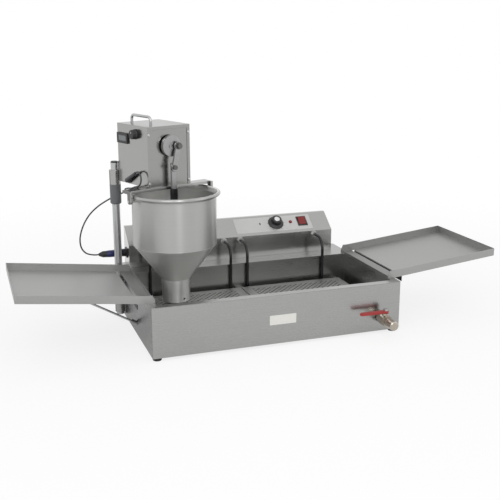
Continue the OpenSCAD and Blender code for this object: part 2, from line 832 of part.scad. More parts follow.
// Rocker at rest with its lower half pressed in
module switch_rocker() {
    half = rocker_l / 2;
    tilt = 8;
    color("darkred") on_panel(switch_x, panel_mid) {
        translate([-rocker_w / 2, 0, 0]) rotate([90, 0, 90]) linear_extrude(rocker_w)
            polygon([[-half + 1, -4], [-half + 0.4, 2.5], [0, 3.4], [half - 1.5,
                2.5 + 2 * half * tan(tilt)],
                [half - 1, -4], [0, -7]]);
        translate([-rocker_w / 2 - 1.2, 0, 0]) rotate([0, 90, 0]) cylinder(h = rocker_w + 2.4, d = 3);
    }
}

module pilot_lamp() {
    color("darkred") on_panel(lamp_x, panel_mid) rotate_extrude() polygon([[0, -14], [lamp_d / 2 - 1.5,
        -14],
        [lamp_d / 2 - 1.5, 0], [lamp_d / 2, 0], [lamp_d / 2, 1.5], [lamp_d / 2 - 1.5, 4], [lamp_d / 4,
            5.2], [0, 5.5]]);
}

// Socket, plug and gland of the head's lead
module lead_socket() {
    flange = plug_d + 6;
    shell = 11;
    color("black") in_tank() translate([case_x, socket_y, socket_z]) rotate([0, -90, 0]) difference() {
        union() {
            translate([-flange / 2, -flange / 2, 0]) cube([flange, flange, 3]);
            cylinder(h = 3 + shell, d = plug_d + 2);
            translate([0, 0, -18]) cylinder(h = 19, d = plug_d - 1);
        }
        translate([0, 0, -10]) cylinder(h = 30, d = plug_d - 3);
    }
}

module lead_plug() {
    spigot_l = 12;
    tail_x = lead_route[len(lead_route) - 1][0];
    body_l = 24;
    front_x = case_x - 14 + spigot_l;
    color("black") in_tank() translate([tail_x, socket_y, socket_z]) rotate([0, 90, 0])
        rotate_extrude() polygon([[0, 0], [lead_d / 2 + 2, 0], [plug_d / 2 - 3, 8], [plug_d / 2 - 1, 12],
            [plug_d / 2 - 1, body_l], [plug_d / 2 - 2, body_l], [plug_d / 2 - 2, front_x - tail_x], [0,
                front_x - tail_x]]);
}

module plug_collar() {
    start = lead_route[len(lead_route) - 1][0] + 24;
    length = case_x - 14 - clear - start;
    color("midnightblue") in_tank() translate([start, socket_y, socket_z]) rotate([0, 90, 0]) difference() {
        union() {
            cylinder(h = length, d = plug_d - 1);
            translate([0, 0, 5]) cylinder(h = length - 10, d = plug_d);
        }
        translate([0, 0, -over]) cylinder(h = length + 2 * over, d = plug_d - 4 + 2 * fit);
    }
}

module mains_gland() {
    thread_d = gland_bore + 6;
    color("black") in_tank() translate([gland_x, casing_d, gland_z]) rotate([-90, 0, 0]) difference() {
        union() {
            cylinder(h = 6, d = (gland_bore + 12) / cos(30), $fn = 6);
            rotate_extrude() polygon([[0, 5], [gland_bore / 2 + 5, 5], [gland_bore / 2 + 5, gland_l - 5],
                [gland_bore / 2 + 2, gland_l], [0, gland_l]]);
            translate([0, 0, -10]) cylinder(h = 11, d = thread_d);
            translate([0, 0, -10]) cylinder(h = 10 - sheet, d = thread_d + 5);
        }
        translate([0, 0, -10 - over]) cylinder(h = gland_l + 10 + 2 * over, d = gland_bore);
    }
}

// Column on the casing's left end
module column_tube() {
    color("silver") in_tank() translate([col_x, col_y, 0]) difference() {
        translate([0, 0, col_foot]) cylinder(h = col_top - col_foot, d = col_d);
        translate([0, 0, col_foot - over]) cylinder(h = col_top, d = col_d - 2 * col_wall);
    }
}

module column_brackets() {
    ring = col_d + 7;
    plate_w = 56;
    color("gray") in_tank() for (z = bracket_z) difference() {
        union() {
            translate([col_x, col_y, z]) cylinder(h = bracket_h, d = ring);
            translate([-col_gap, col_y - col_d / 2 - 2, z]) cube([col_gap, plate_w, bracket_h]);
        }
        translate([col_x, col_y, z - over]) cylinder(h = bracket_h + 2 * over, d = col_d + 2 * fit);
        translate([0, col_y - ring, z - over]) cube([ring, 2 * ring, bracket_h + 2 * over]);
    }
}

module column_cap() {
    bore = col_d - 2 * col_wall;
    color("darkgray") in_tank() translate([col_x, col_y, col_top]) rotate_extrude()
        polygon([[0, -10], [bore / 2 - fit, -10], [bore / 2 - fit, 0], [col_d / 2, 0], [col_d / 2, 2],
            [col_d / 2 - 2, 4], [0, 4]]);
}

module height_collar() {
    chamfer = 3;
    color("dimgray") in_tank() translate([col_x, col_y, collar_z]) difference() {
        rotate_extrude() polygon([[col_d / 2 + fit, 0], [collar_d / 2 - chamfer, 0], [collar_d / 2,
            chamfer],
            [collar_d / 2, collar_l], [col_d / 2 + fit, collar_l]]);
        translate([0, collar_d / 2 + over, thumb_z - collar_z]) along_y(collar_d / 2, thumb_d + 2 * fit);
    }
}

module collar_screw() {
    tip = col_d / 2 + fit;
    color("black") in_tank() translate([col_x, col_y, thumb_z]) rotate([-90, 0, 0])
        rotate_extrude() polygon([[0, tip], [thumb_d / 2, tip], [thumb_d / 2, collar_d / 2 + 0.3],
            [8, collar_d / 2 + 0.3], [8, collar_d / 2 + 8], [6.5, collar_d / 2 + 10], [0,
                collar_d / 2 + 10]]);
}

// Head: sleeve on the column, chassis, cover and drive
module head_sleeve() {
    plate_w = 100;
    plate_h = 54;
    color("silver") in_head() difference() {
        union() {
            translate([0, 0, sleeve_z]) cylinder(h = sleeve_l, d = collar_d);
            translate([head_u + 2, head_back, head_z + 2]) cube([plate_w, plate_t, plate_h]);
        }
        translate([0, 0, head_z - sleeve_l]) cylinder(h = 3 * sleeve_l, d = col_d + 2 * fit);
        for (p = plate_screws) translate([p[0], head_back + plate_t + over, p[1]])
            along_y(plate_t + 2 * over, screw_d + 2 * fit);
    }
}
plate_screws = [for (u = [head_u + 34, head_u + 92], z = [head_z + 12, head_z + 46]) [u, z]];

module head_chassis() {
    inside = head_w - 2 * sheet;
    color("darkgray") difference() {
        in_head() difference() {
            translate([head_u + sheet, head_front, head_z]) cube([inside, head_d, head_h - sheet]);
            translate([head_u, head_front + sheet, head_z + sheet]) cube([head_w, head_d - 2 * sheet,
                head_h]);
            for (p = plate_screws) translate([p[0], head_back + over, p[1]])
                along_y(sheet + 2 * over, screw_d + 2 * fit);
            for (u = yoke_screw_u) translate([u, yoke_screw_v, head_z - over])
                cylinder(h = sheet + 2 * over, d = screw_d + 2 * fit);
        }
        on_front(head_mid, crank_z, -sheet - over) cylinder(h = sheet + 2 * over,
            d = shaft_d + 6 + 2 * fit);
        for (p = front_screws) on_front(p[0], p[1], -sheet - over) cylinder(h = sheet + 2 * over,
            d = screw_d + 2 * fit);
    }
}
front_screws = [for (u = [head_u + head_lip / 2, head_u + head_w - head_lip / 2], z = [head_z + 11,
    head_top - 22]) [u, z]];
yoke_screw_u = [head_mid - 40, head_mid + 40];
yoke_screw_v = yoke_v + yoke_d - 10;

module head_cover() {
    color("silver") difference() {
        in_head() difference() {
            translate([head_u, head_front - sheet, head_z]) cube([head_w, head_d + sheet, head_h]);
            translate([head_u + sheet, head_front, head_z - over])
                cube([head_w - 2 * sheet, head_d + over, head_h - sheet + over]);
            translate([head_u + head_lip, head_front - sheet - over, head_z - over])
                cube([head_w - 2 * head_lip, sheet + 2 * over, head_h - head_lip + over]);
        }
        for (p = front_screws) on_front(p[0], p[1], -over) cylinder(h = sheet + 2 * over,
            d = screw_d + 2 * fit);
        on_side(speed_v, speed_z) translate([0, 0, -sheet - over]) cylinder(h = sheet + 2 * over,
            d = 6 + 2 * fit);
        on_side(elbow_v, elbow_z) translate([0, 0, -sheet - over]) cylinder(h = sheet + 2 * over,
            d = 10 + 2 * fit);
        on_side(display_v, display_z) translate([-display_h / 2 + 4, -display_w / 2 + 4, -sheet - over])
            cube([display_h - 8, display_w - 8, sheet + 2 * over]);
    }
}

module head_screws() {
    color("gray") {
        for (p = front_screws) on_front(p[0], p[1], sheet) pan_screw(6);
        in_head() {
            for (p = plate_screws) translate([p[0], head_back + plate_t, p[1]]) rotate([-90, 0, 0])
                pan_screw(10);
            for (u = yoke_screw_u) translate([u, yoke_screw_v, head_z - yoke_t]) rotate([180, 0, 0])
                pan_screw(12);
        }
    }
}

module top_handle() {
    bend = handle_d * 1.5;
    near = head_front + 50;
    rise = handle_h - handle_d / 2 - bend;
    color("gainsboro") in_head() translate([head_u + 45, near, head_top]) {
        cylinder(h = rise, d = handle_d);
        translate([0, handle_span, 0]) cylinder(h = rise, d = handle_d);
        translate([0, bend, rise]) rotate([90, 0, -90]) quarter_bend(bend, handle_d);
        translate([0, handle_span - bend, rise]) rotate([90, 0, 90]) quarter_bend(bend, handle_d);
        translate([0, handle_span - bend, rise + bend]) along_y(handle_span - 2 * bend, handle_d);
    }
}

module display_bezel() {
    frame = 7;
    color("black") on_side(display_v, display_z) difference() {
        union() {
            translate([-display_h / 2, -display_w / 2, 0]) cube([display_h, display_w, 5]);
            translate([-display_h / 2 + 4 + fit, -display_w / 2 + 4 + fit, -12])
                cube([display_h - 8 - 2 * fit, display_w - 8 - 2 * fit, 13]);
        }
        translate([-display_h / 2 + frame, -display_w / 2 + frame, 2])
            cube([display_h - 2 * frame, display_w - 2 * frame, 5]);
    }
}

module display_window() {
    frame = 7 + 0.1;
    color("lightslategray") on_side(display_v, display_z)
        translate([-display_h / 2 + frame, -display_w / 2 + frame, 2])
            cube([display_h - 2 * frame, display_w - 2 * frame, 2]);
}

module speed_knob() {
    color("black") on_side(speed_v, speed_z) {
        rotate_extrude() polygon([[0, clear], [speed_d / 2, clear], [speed_d / 2, 3],
            [speed_d / 2 - 1.5, speed_h - 1.5],
            [speed_d / 2 - 3, speed_h], [0, speed_h]]);
        translate([0, 0, -14]) cylinder(h = 14 + clear + over, d = 6);
    }
}

module gearbox() {
    color("darkslategray") on_front(head_mid, crank_z, -sheet) difference() {
        translate([-gearbox_size[0] / 2, -gearbox_size[2] / 2, -gearbox_size[1]])
            cube([gearbox_size[0], gearbox_size[2], gearbox_size[1]]);
        translate([0, 0, -34]) cylinder(h = 34 + over, d = shaft_d + 2 * fit);
        translate([0, 0, -4]) cylinder(h = 4 + over, d = shaft_d + 6 + 2 * fit);
    }
}

module gear_motor() {
    color("gray") on_front(head_mid, crank_z, -sheet - gearbox_size[1] - motor_l)
        rotate_extrude() polygon([[0, 0], [motor_d / 2 - 2, 0], [motor_d / 2, 2], [motor_d / 2, motor_l],
            [0, motor_l]]);
}

module shaft_bush() {
    color("goldenrod") on_front(head_mid, crank_z, -sheet) difference() {
        union() {
            translate([0, 0, sheet]) cylinder(h = bush_t, d = shaft_d + 20);
            translate([0, 0, -3]) cylinder(h = sheet + 3 + over, d = shaft_d + 6);
        }
        translate([0, 0, -4]) cylinder(h = sheet + bush_t + 5, d = shaft_d + 2 * fit);
    }
}

// Crank, link and plunger
module crank_disc() {
    shaft_l = disc_out + sheet + 32;
    color("silver") on_front(head_mid, crank_z, disc_out) difference() {
        union() {
            cylinder(h = crank_t, d = crank_d);
            translate([0, 0, -shaft_l]) cylinder(h = shaft_l + over, d = shaft_d);
            translate([crank_r, 0, 0]) cylinder(h = link_out - disc_out - 0.6, d = crank_pin_d + 5);
            translate([0, 0, 0]) cylinder(h = crank_t + 2, d = shaft_d + 6);
        }
        translate([crank_r, 0, 3]) cylinder(h = link_out, d = crank_pin_d + 2 * fit);
    }
}

module crank_bolt() {
    shank_l = link_out - disc_out + link_t - 3 + 0.6;
    color("lightgray") on_front(head_mid + crank_r, crank_z, disc_out + 3) {
        cylinder(h = shank_l + over, d = crank_pin_d);
        translate([0, 0, shank_l]) cylinder(h = 2, r = eye_r + 2.5);
        translate([0, 0, shank_l + 1]) cylinder(h = 6.5, d = 13 / cos(30), $fn = 6);
    }
}

module connecting_link() {
    span = [crank_r, crank_z - link_z];
    lean = atan(span[0] / span[1]);
    color("silver") on_front(head_mid, link_z, link_out) linear_extrude(link_t) difference() {
        union() {
            circle(r = 10);
            rotate(-lean) translate([-link_w / 2, 0]) square([link_w, norm(span)]);
            translate(span) circle(r = eye_r + 4.5);
        }
        circle(d = link_pin_d + 2 * fit);
        translate(span) circle(r = eye_r);
    }
}

module link_bolt() {
    shank_l = link_out + link_t - plunger_out + plunger_d / 2 - 1;
    color("gray") on_front(head_mid, link_z, link_out + link_t - shank_l) {
        cylinder(h = shank_l + over, d = link_pin_d);
        translate([0, 0, shank_l + 0.1]) cylinder(h = 4.5, d = 2 * link_pin_d + 1);
    }
}

module plunger_rod() {
    flat_v = -(link_out - 0.3 - plunger_out);
    plate_r = nozzle_d / 2 - nozzle_wall - 10;
    color("silver") in_head() translate([head_mid, plunger_v, 0]) difference() {
        union() {
            translate([0, 0, plunger_foot]) cylinder(h = plunger_top - plunger_foot, d = plunger_d);
            translate([0, 0, plunger_foot]) cylinder(h = 4, r = plate_r);
        }
        translate([-plunger_d, flat_v - plunger_d, link_z - 12]) cube([2 * plunger_d, plunger_d,
            plunger_d * 3]);
        translate([0, plunger_d, link_z]) along_y(2 * plunger_d, link_pin_d + 2 * fit);
    }
}

// Dark clamp that joins the two lengths of the rod
module rod_coupling() {
    length = 32;
    color("dimgray") in_head() translate([head_mid, plunger_v, hop_z - 24]) difference() {
        cylinder(h = length, d = coupling_d);
        translate([0, 0, -over]) cylinder(h = length + 2 * over, d = plunger_d + 2 * fit);
    }
}

module batter_piston() {
    color("whitesmoke") in_head() translate([head_mid, plunger_v, piston_z]) difference() {
        cylinder(h = piston_t, d = nozzle_d - 2 * nozzle_wall - 2 * fit);
        translate([0, 0, -over]) cylinder(h = piston_t + 2 * over, d = plunger_d + 2 * fit);
    }
}

// Hopper, its nozzle and the yoke it hangs in
module hopper() {
    r = hop_d / 2;
    spigot = 14;
    bead_z = hop_z - bead_r;
    color("silver") in_head() translate([head_mid, plunger_v, 0]) {
        rotate_extrude($fn = 96) {
            polygon([[r + flare, bead_z], [r, bead_z - 3 * flare], [r, hop_seam_z], [spigot_r,
                hop_cone_z], [spigot_r, hop_cone_z - spigot],
                [spigot_r - sheet, hop_cone_z - spigot], [spigot_r - sheet, hop_cone_z], [r - sheet,
                    hop_seam_z],
                [r - sheet, bead_z - 3 * flare], [r + flare - sheet, bead_z]]);
            translate([r + flare + bead_r - sheet, bead_z]) circle(r = bead_r);
        }
        for (side = [-1, 1]) translate([0, lug_v - plunger_v, stud_z]) rotate([0, side * 90, 0])
            translate([0, 0, r - sheet - 0.5]) cylinder(h = yoke_in + yoke_t + 2 - r + sheet + 0.5,
                d = stud_d);
    }
}

module nozzle_tube() {
    color("gainsboro") in_head() translate([head_mid, plunger_v, 0]) difference() {
        translate([0, 0, nozzle_z]) cylinder(h = hop_cone_z - nozzle_z - 1, d = nozzle_d);
        translate([0, 0, nozzle_z - over]) cylinder(h = hop_cone_z, d = nozzle_d - 2 * nozzle_wall);
        translate([0, 0, nozzle_z + 9]) along_y(nozzle_d, 6);
    }
}

module hopper_bracket() {
    reach = yoke_in + yoke_t;
    color("silver") in_head() difference() {
        union() {
            translate([head_mid - reach, yoke_v, head_z - yoke_t]) cube([2 * reach, yoke_d, yoke_t]);
            for (side = [-1, 1]) translate([head_mid + side * (yoke_in + yoke_t / 2) - yoke_t / 2,
                lug_v, stud_z]) {
                translate([0, -lug_r, 0]) cube([yoke_t, 2 * lug_r, head_z - stud_z]);
                rotate([0, 90, 0]) cylinder(h = yoke_t, r = lug_r);
            }
        }
        translate([head_mid - reach - over, lug_v, stud_z]) rotate([0, 90, 0])
            cylinder(h = 2 * reach + 2 * over, d = stud_d + 2 * fit);
        for (u = yoke_screw_u) translate([u, yoke_screw_v, head_z - yoke_t - over])
            cylinder(h = yoke_t + 2 * over, d = screw_d + 2 * fit);
    }
}

// Elbow gland on the head's side, its tapered boot along the cover
module lead_gland() {
    boot_tilt = atan(boot_rise / boot_l);
    color("dimgray") on_side(elbow_v, elbow_z) {
        cylinder(h = 4, d = 18);
        translate([0, 0, -8]) cylinder(h = 8 + elbow_out, d = 10);
        translate([0, 0, -8]) cylinder(h = 8 - sheet, d = 14);
        translate([0, 0, elbow_out]) sphere(d = 13);
        translate([0, 0, elbow_out]) rotate([90, 0, boot_tilt])
            cylinder(h = norm([boot_l, boot_rise]), d1 = 12.6, d2 = lead_d + 3);
    }
}

// Lead: one tube swept along a smooth curve through the route's points
function on_curve(p, i, t) = let (
    n = len(p) - 1, a = p[max(i - 1, 0)], b = p[i], c = p[min(i + 1, n)], d = p[min(i + 2, n)]
) b + 0.5 * t * ((c - a) + t * ((2 * a - 5 * b + 4 * c - d) + t * (3 * (b - c) + d - a)));

function curve_points(p, steps) = concat(
    [for (i = [0 : len(p) - 2], k = [0 : steps - 1]) on_curve(p, i, k / steps)], [p[len(p) - 1]]);

function unit(v) = v / norm(v);

function heading(c, i) = unit(c[min(i + 1, len(c) - 1)] - c[max(i - 1, 0)]);

// Side direction carried from ring to ring, so that the tube does not twist
function carried(c, i, side) = let (h = heading(c, i)) unit(side - h * (side * h));

function sides_along(c, i, side) = i >= len(c) ? [] :
    let (s = carried(c, i, side)) concat([s], sides_along(c, i + 1, s));

module tube_along(c, d, sides) {
    across = sides_along(c, 0, [0, 0, 1]);
    rings = len(c);
    points = [for (i = [0 : rings - 1], k = [0 : sides - 1]) let (
        a = k * 360 / sides, s = across[i], w = cross(heading(c, i), s)
    ) c[i] + d / 2 * (cos(a) * s + sin(a) * w)];
    walls = [for (i = [0 : rings - 2], k = [0 : sides - 1], half = [0, 1]) let (
        n = (k + 1) % sides, p = i * sides + k, q = i * sides + n
    ) half == 0 ? [p, p + sides, q + sides] : [p, q + sides, q]];
    start = [for (k = [1 : sides - 2]) [0, k, k + 1]];
    finish = [for (k = [1 : sides - 2], base = (rings - 1) * sides) [base, base + k + 1, base + k]];
    polyhedron(points, concat(walls, start, finish));
}

module lead_cord() {
    color("black") in_tank() tube_along(curve_points(lead_route, lead_steps), lead_d, lead_sides);
}

outer_casing();
oil_pan();
base_plate();
rubber_feet();
drain_pipe();
valve_body();
valve_end_cap();
valve_stem();
valve_lever();
heating_element_left();
heating_element_right();
element_fittings();
left_screen();
right_screen();
screen_rests();
left_tray();
right_tray();
left_brace();
right_brace();
brace_cups();
control_case();
control_back_cover();
case_screws();
thermostat_knob();
thermostat_body();
switch_body();
switch_rocker();
pilot_lamp();
lead_socket();
mains_gland();
column_tube();
column_brackets();
column_cap();
height_collar();
collar_screw();
head_sleeve();
head_chassis();
head_cover();
head_screws();
top_handle();
display_bezel();
display_window();
speed_knob();
gear_motor();
gearbox();
shaft_bush();
crank_disc();
crank_bolt();
connecting_link();
link_bolt();
plunger_rod();
rod_coupling();
batter_piston();
hopper();
nozzle_tube();
hopper_bracket();
lead_gland();
lead_plug();
plug_collar();
lead_cord();
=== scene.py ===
"""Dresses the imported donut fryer: steel finishes, folded edges, punched screens, knobs and the lead."""

import json
import math

import bpy
from mathutils import Matrix, Vector


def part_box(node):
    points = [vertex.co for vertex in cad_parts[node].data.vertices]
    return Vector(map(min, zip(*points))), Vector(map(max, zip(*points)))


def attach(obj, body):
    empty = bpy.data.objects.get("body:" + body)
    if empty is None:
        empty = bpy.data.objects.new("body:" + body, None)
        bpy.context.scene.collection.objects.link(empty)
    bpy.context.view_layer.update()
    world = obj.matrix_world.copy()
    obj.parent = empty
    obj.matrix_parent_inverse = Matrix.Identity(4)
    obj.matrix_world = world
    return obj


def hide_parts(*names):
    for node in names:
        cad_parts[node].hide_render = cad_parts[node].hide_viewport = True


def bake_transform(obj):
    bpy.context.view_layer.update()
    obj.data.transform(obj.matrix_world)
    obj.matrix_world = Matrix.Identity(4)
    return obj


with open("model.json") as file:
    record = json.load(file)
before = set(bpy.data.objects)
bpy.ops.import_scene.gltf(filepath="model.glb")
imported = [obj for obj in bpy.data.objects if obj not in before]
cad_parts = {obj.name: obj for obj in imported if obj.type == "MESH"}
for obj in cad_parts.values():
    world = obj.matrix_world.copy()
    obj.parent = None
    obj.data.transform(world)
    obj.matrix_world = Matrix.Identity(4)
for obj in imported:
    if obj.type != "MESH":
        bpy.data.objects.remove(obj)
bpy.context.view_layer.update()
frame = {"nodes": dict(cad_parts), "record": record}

bl_info = {
    "name": "Donut fryer dressing",
    "version": (1, 0, 0),
    "blender": (4, 5, 0),
    "location": "3D View > Sidebar > Fryer",
    "description": "Finishes and visible details for the packed donut fryer",
    "category": "Object",
}

MM = 0.001
NODES = frame["nodes"]
BODY_OF = {node: body for body, nodes in frame["record"]["behaviour"]["bodies"].items() for node in nodes}

# Places that the source names, in millimetres from the casing's front left lower corner
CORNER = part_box("outer_casing")[0]
COLUMN = (-13.0, 375.0)
HEAD_TURN = math.radians(20.0)
HEAD_SIDE_U = 3.0

# Sloped panel: depth and height of its foot, its run and its rise
PANEL_FOOT = (388.0, 207.5)
PANEL_RUN = 61.0
PANEL_RISE = 46.5
PANEL_TILT = math.atan2(PANEL_RISE, PANEL_RUN)

# Thermostat knob: place along the panel and up its slope, gap between them
DIAL_X = 501
DIAL_UP = 0.56 * math.hypot(PANEL_RUN, PANEL_RISE)
DIAL_GAP = 0.5

# Speed knob: depth and height on the head's side
SPEED_KNOB = (-115.0, 552.0)

# Pan's floor: height over the ground that it stays under
PAN_LOW = 100.0

# Rim and trays: height under the rim's sheet, height of a tray's seat, seat's end outside the casing
RIM_UNDER = 136.8
RIM_TOP = 138.9
SEAT_END = 15.0

# Hopper: radius and height of the seams over and under its cone
CONE_SEAM = (117.0, 251.0)
NOZZLE_SEAM = (41.55, 150.0)

# Weld beads: half of their thickness and height, and how deep they sink into the wall
BEAD = (0.35, 0.7)
BEAD_SINK = 0.15

# Fascia: its left end along the panel, its middle up the slope, its height, thickness and corners
FASCIA_LEFT = 365
FASCIA_UP = 40.0
FASCIA_HIGH = 60.0
FASCIA_THICK = 0.3
FASCIA_CORNER = 3.0

# Dial marks: number of ticks, turn of the first one and step in degrees, every which one is wide, widths,
# reach and length in millimetres, thickness of the ink
TICKS = 11
TICK_FIRST = -150
TICK_STEP = 30
TICK_WIDE_EVERY = 5
TICK_WIDE = 1.5
TICK_THIN = 0.9
TICK_REACH = 28.2
TICK_LONG = 3.2
INK_THICK = 0.08

# Plain mark beside the dial: place along the panel and up its slope, width, height and corners
MARK_PLACE = (448, 44.0)
MARK_SIZE = (4.2, 9.0)
MARK_CORNER = 1.8

# Blank plate on the front: place along the front and height, width, height, thickness and corners
BLANK_PLACE = (362.5, 68.5)
BLANK_SIZE = (77.0, 27.0)
BLANK_THICK = 0.4
BLANK_CORNER = 1.5

# Camera fitted to the photo: lens and sensor in millimetres, place and reach in metres, turn in degrees
CAMERA_LENS = 60.38
CAMERA_SENSOR = 36.0
CAMERA_PLACE = (-0.7921, -2.2007, 0.8438)
CAMERA_REACH = 50.0
CAMERA_TILT = 75.12
CAMERA_TURN = -19.25

# Softboxes round the machine: place and size in metres, power in watts
LAMP_AIM = Vector((0.0, 0.05, 0.2))
LAMPS = {
    "key_softbox": ((-1.5, -1.9, 2.3), (1.2, 1.2), 12.0),
    "fill_softbox": ((2.2, -1.6, 1.6), (1.4, 1.4), 5.0),
    "strip_softbox": ((-0.24, -2.6, 1.9), (0.3, 1.4), 14.0),
    "rim_softbox": ((0.6, 2.2, 2.2), (1.4, 1.4), 1.0),
}

# Floor in metres: its size, where it starts and ends to fade, and how white it is near the machine, seen
# straight and in reflections
FLOOR_SIZE = 30.0
FADE_START = 0.7
FADE_END = 2.2
NEAR_WHITE = 0.8
NEAR_WHITE_MIRRORED = 0.4

# Strength of the white surroundings as a light
WORLD_LIGHT = 0.8

# Lead: loop beside the head in its turned frame, then down to the plug, in millimetres as in the source
LEAD_LOOP = (
    (-6, -123.4, 447.2), (-6.3, -126.9, 449.2), (-7.2, -138.4, 451.7), (-8.2, -149.6, 447.1),
    (-9.3, -156, 437), (-10.4, -155.5, 425), (-11.5, -148.2, 415.4), (-12.6, -138.4, 411.9),
    (-13.5, -129, 409.5), (-14.1, -120.8, 406.6),
)
LEAD_DROP = (
    (12, 264, 404), (7, 286, 400.5), (5, 312, 394.5), (7, 338, 385.5), (10, 364, 375.5), (6, 388, 367),
    (-10, 400, 358), (-34, 404, 346), (-60, 406, 330), (-84, 409, 308), (-101, 412, 282), (-112, 415, 254),
    (-116, 418, 228), (-112, 421, 204), (-99, 424, 187), (-79, 425, 180), (-62, 425, 179),
)
LEAD_STEPS = 6

# Half sections of the turned pieces: radius and height in millimetres
THERMOSTAT_GRIP = (
    (3.05, 0.0), (25.0, 0.0), (25.0, 1.6), (24.4, 2.3), (22.2, 3.9), (17.2, 5.2), (16.5, 6.2), (16.4, 8.5),
    (16.0, 13.5), (15.7, 17.6), (15.0, 19.2), (13.6, 20.0), (8.7, 20.0), (8.7, 19.2), (3.05, 19.2),
    (3.05, 0.0),
)
THERMOSTAT_CAP = (
    (0.0, 19.3), (8.6, 19.3), (8.6, 20.2), (8.0, 20.7), (5.8, 20.7), (5.4, 20.35), (0.0, 20.35),
)
SPEED_GRIP = (
    (0.0, 0.5), (14.0, 0.5), (14.0, 3.0), (13.4, 3.6), (13.2, 5.0), (12.8, 12.4), (12.2, 13.9), (11.0, 14.8),
    (9.0, 15.0), (0.0, 14.7),
)

# Flutes of the grips: depth as a share of the radius, band of heights and least radius in millimetres
THERMOSTAT_FLUTES = {"depth": 0.035, "band": (6.0, 18.5), "reach": 14}
SPEED_FLUTES = {"depth": 0.03, "band": (4.4, 13.0), "reach": 11.5}

# Pointers on the knobs, in millimetres: width, height, thickness and corners, and how far out and up they
# lie
THERMOSTAT_POINTER = (1.6, 6.5, 0.25, 0.4)
THERMOSTAT_POINTER_AT = (20.8, 3.62)
SPEED_POINTER = (7.0, 1.2, 0.25, 0.4)
SPEED_POINTER_AT = (6.2, 14.72)

# Slope in degrees of the thermostat knob's skirt, on which its pointer lies
SKIRT_SLOPE = -26

# Steps round the turned pieces that have no flutes
CAP_STEPS = 64
BEAD_STEPS = 128

# Angles in degrees from which edges stay sharp in shading: on most pieces, where they are also rounded, on
# the grips, on the cap and on round pieces
SHARP = 35.0
SHARP_GRIP = 40.0
SHARP_CAP = 30.0
SHARP_ROUND = 60.0

# Angle in degrees up to which neighbouring faces are merged into one
MERGED = 0.6

# Parts of a face's direction from which it counts as level, leaning up or facing one way, and from which a
# sheet's scratches are laid as on a level face
LEVEL = 0.9
LEANING = 0.5
FACING = 0.7
SCRATCHED_LEVEL = 0.6

# Finishes in millimetres: broad clouds on ground sheet, patches on other skins, depth of relief
CLOUD = 90.0
PATCH = 22.0
RELIEF = 0.1

# Share of the clouds in a sheet's noise, ranges of the noise, and how far roughness follows it
CLOUD_SHARE = 0.45
SHEET_NOISE = (0.45, 1.0)
SHEET_GLOSS = (-0.05, 0.07)
SKIN_NOISE = (0.7, 1.3)
SKIN_GLOSS = (-0.06, 0.06)


# Places and turned frames


def in_tank(x, y, z):
    """A point of the casing's frame, in metres of the shared frame."""
    return CORNER + Vector((x, y, z)) * MM


def in_head(u, v, z):
    """A point of the head's turned frame: u across the front, v to the back."""
    c = math.cos(HEAD_TURN)
    s = math.sin(HEAD_TURN)
    return in_tank(COLUMN[0] + u * c - v * s, COLUMN[1] + u * s + v * c, z)


def on_panel(x, up, out=0.0):
    """Frame on the sloped panel: y up the slope, z outwards."""
    turn = Matrix.Rotation(PANEL_TILT, 4, "X")
    foot = Matrix.Translation(in_tank(x, PANEL_FOOT[0], PANEL_FOOT[1]))
    return foot @ turn @ Matrix.Translation((0.0, up * MM, out * MM))


def on_head_side(v, z, out=0.0):
    """Frame on the head's display side: x up, y to the back, z outwards."""
    turn = Matrix.Rotation(HEAD_TURN, 4, "Z") @ Matrix.Rotation(-math.pi / 2, 4, "Y")
    return Matrix.Translation(in_head(HEAD_SIDE_U - out, v, z)) @ turn


# Mesh helpers


def only(piece):
    """Leaves one piece selected and active, in object mode."""
    if bpy.context.mode != "OBJECT":
        bpy.ops.object.mode_set(mode="OBJECT")
    bpy.ops.object.select_all(action="DESELECT")
    piece.select_set(True)
    bpy.context.view_layer.objects.active = piece


def editing(piece):
    """Opens a piece in edit mode with all of it selected."""
    only(piece)
    bpy.ops.object.mode_set(mode="EDIT")
    bpy.ops.mesh.select_all(action="SELECT")


def closed(piece):
    """Turns a piece's faces outwards and leaves edit mode."""
    bpy.ops.mesh.select_all(action="SELECT")
    bpy.ops.mesh.normals_make_consistent(inside=False)
    bpy.ops.object.mode_set(mode="OBJECT")
    return piece


def new_piece(name, mesh):
    """Links a mesh as a new object of that name."""
    piece = bpy.data.objects.new(name, mesh)
    bpy.context.scene.collection.objects.link(piece)
    only(piece)
    return piece


def named_active(name):
    """Gives the active object and its mesh that name."""
    piece = bpy.context.view_layer.objects.active
    piece.name = name
    piece.data.name = name
    return piece


def settle(piece, finish, smooth=SHARP):
    """Ends a piece's making: finish by name, smooth shading by angle."""
    only(piece)
    piece.data.materials.clear()
    piece.data.materials.append(FINISHES[finish])
    bpy.ops.object.shade_smooth_by_angle(angle=math.radians(smooth))
    return piece


def joined(pieces, name):
    """Joins pieces into one object of that name."""
    only(pieces[0])
    for piece in pieces[1:]:
        piece.select_set(True)
    bpy.ops.object.join()
    return named_active(name)


def turned(name, section, steps, place):
    """A turned form: half section of (radius, height) in millimetres, spun round z, then put in place."""
    mesh = bpy.data.meshes.new(name)
    points = [(r * MM, 0.0, h * MM) for r, h in section]
    mesh.from_pydata(points, [(i, i + 1) for i in range(len(points) - 1)], [])
    piece = new_piece(name, mesh)
    editing(piece)
    bpy.ops.mesh.spin(steps=steps, angle=2 * math.pi, center=(0, 0, 0), axis=(0, 0, 1))
    bpy.ops.mesh.select_all(action="SELECT")
    bpy.ops.mesh.remove_doubles(threshold=1e-6)
    closed(piece)
    piece.data.transform(place)
    return piece


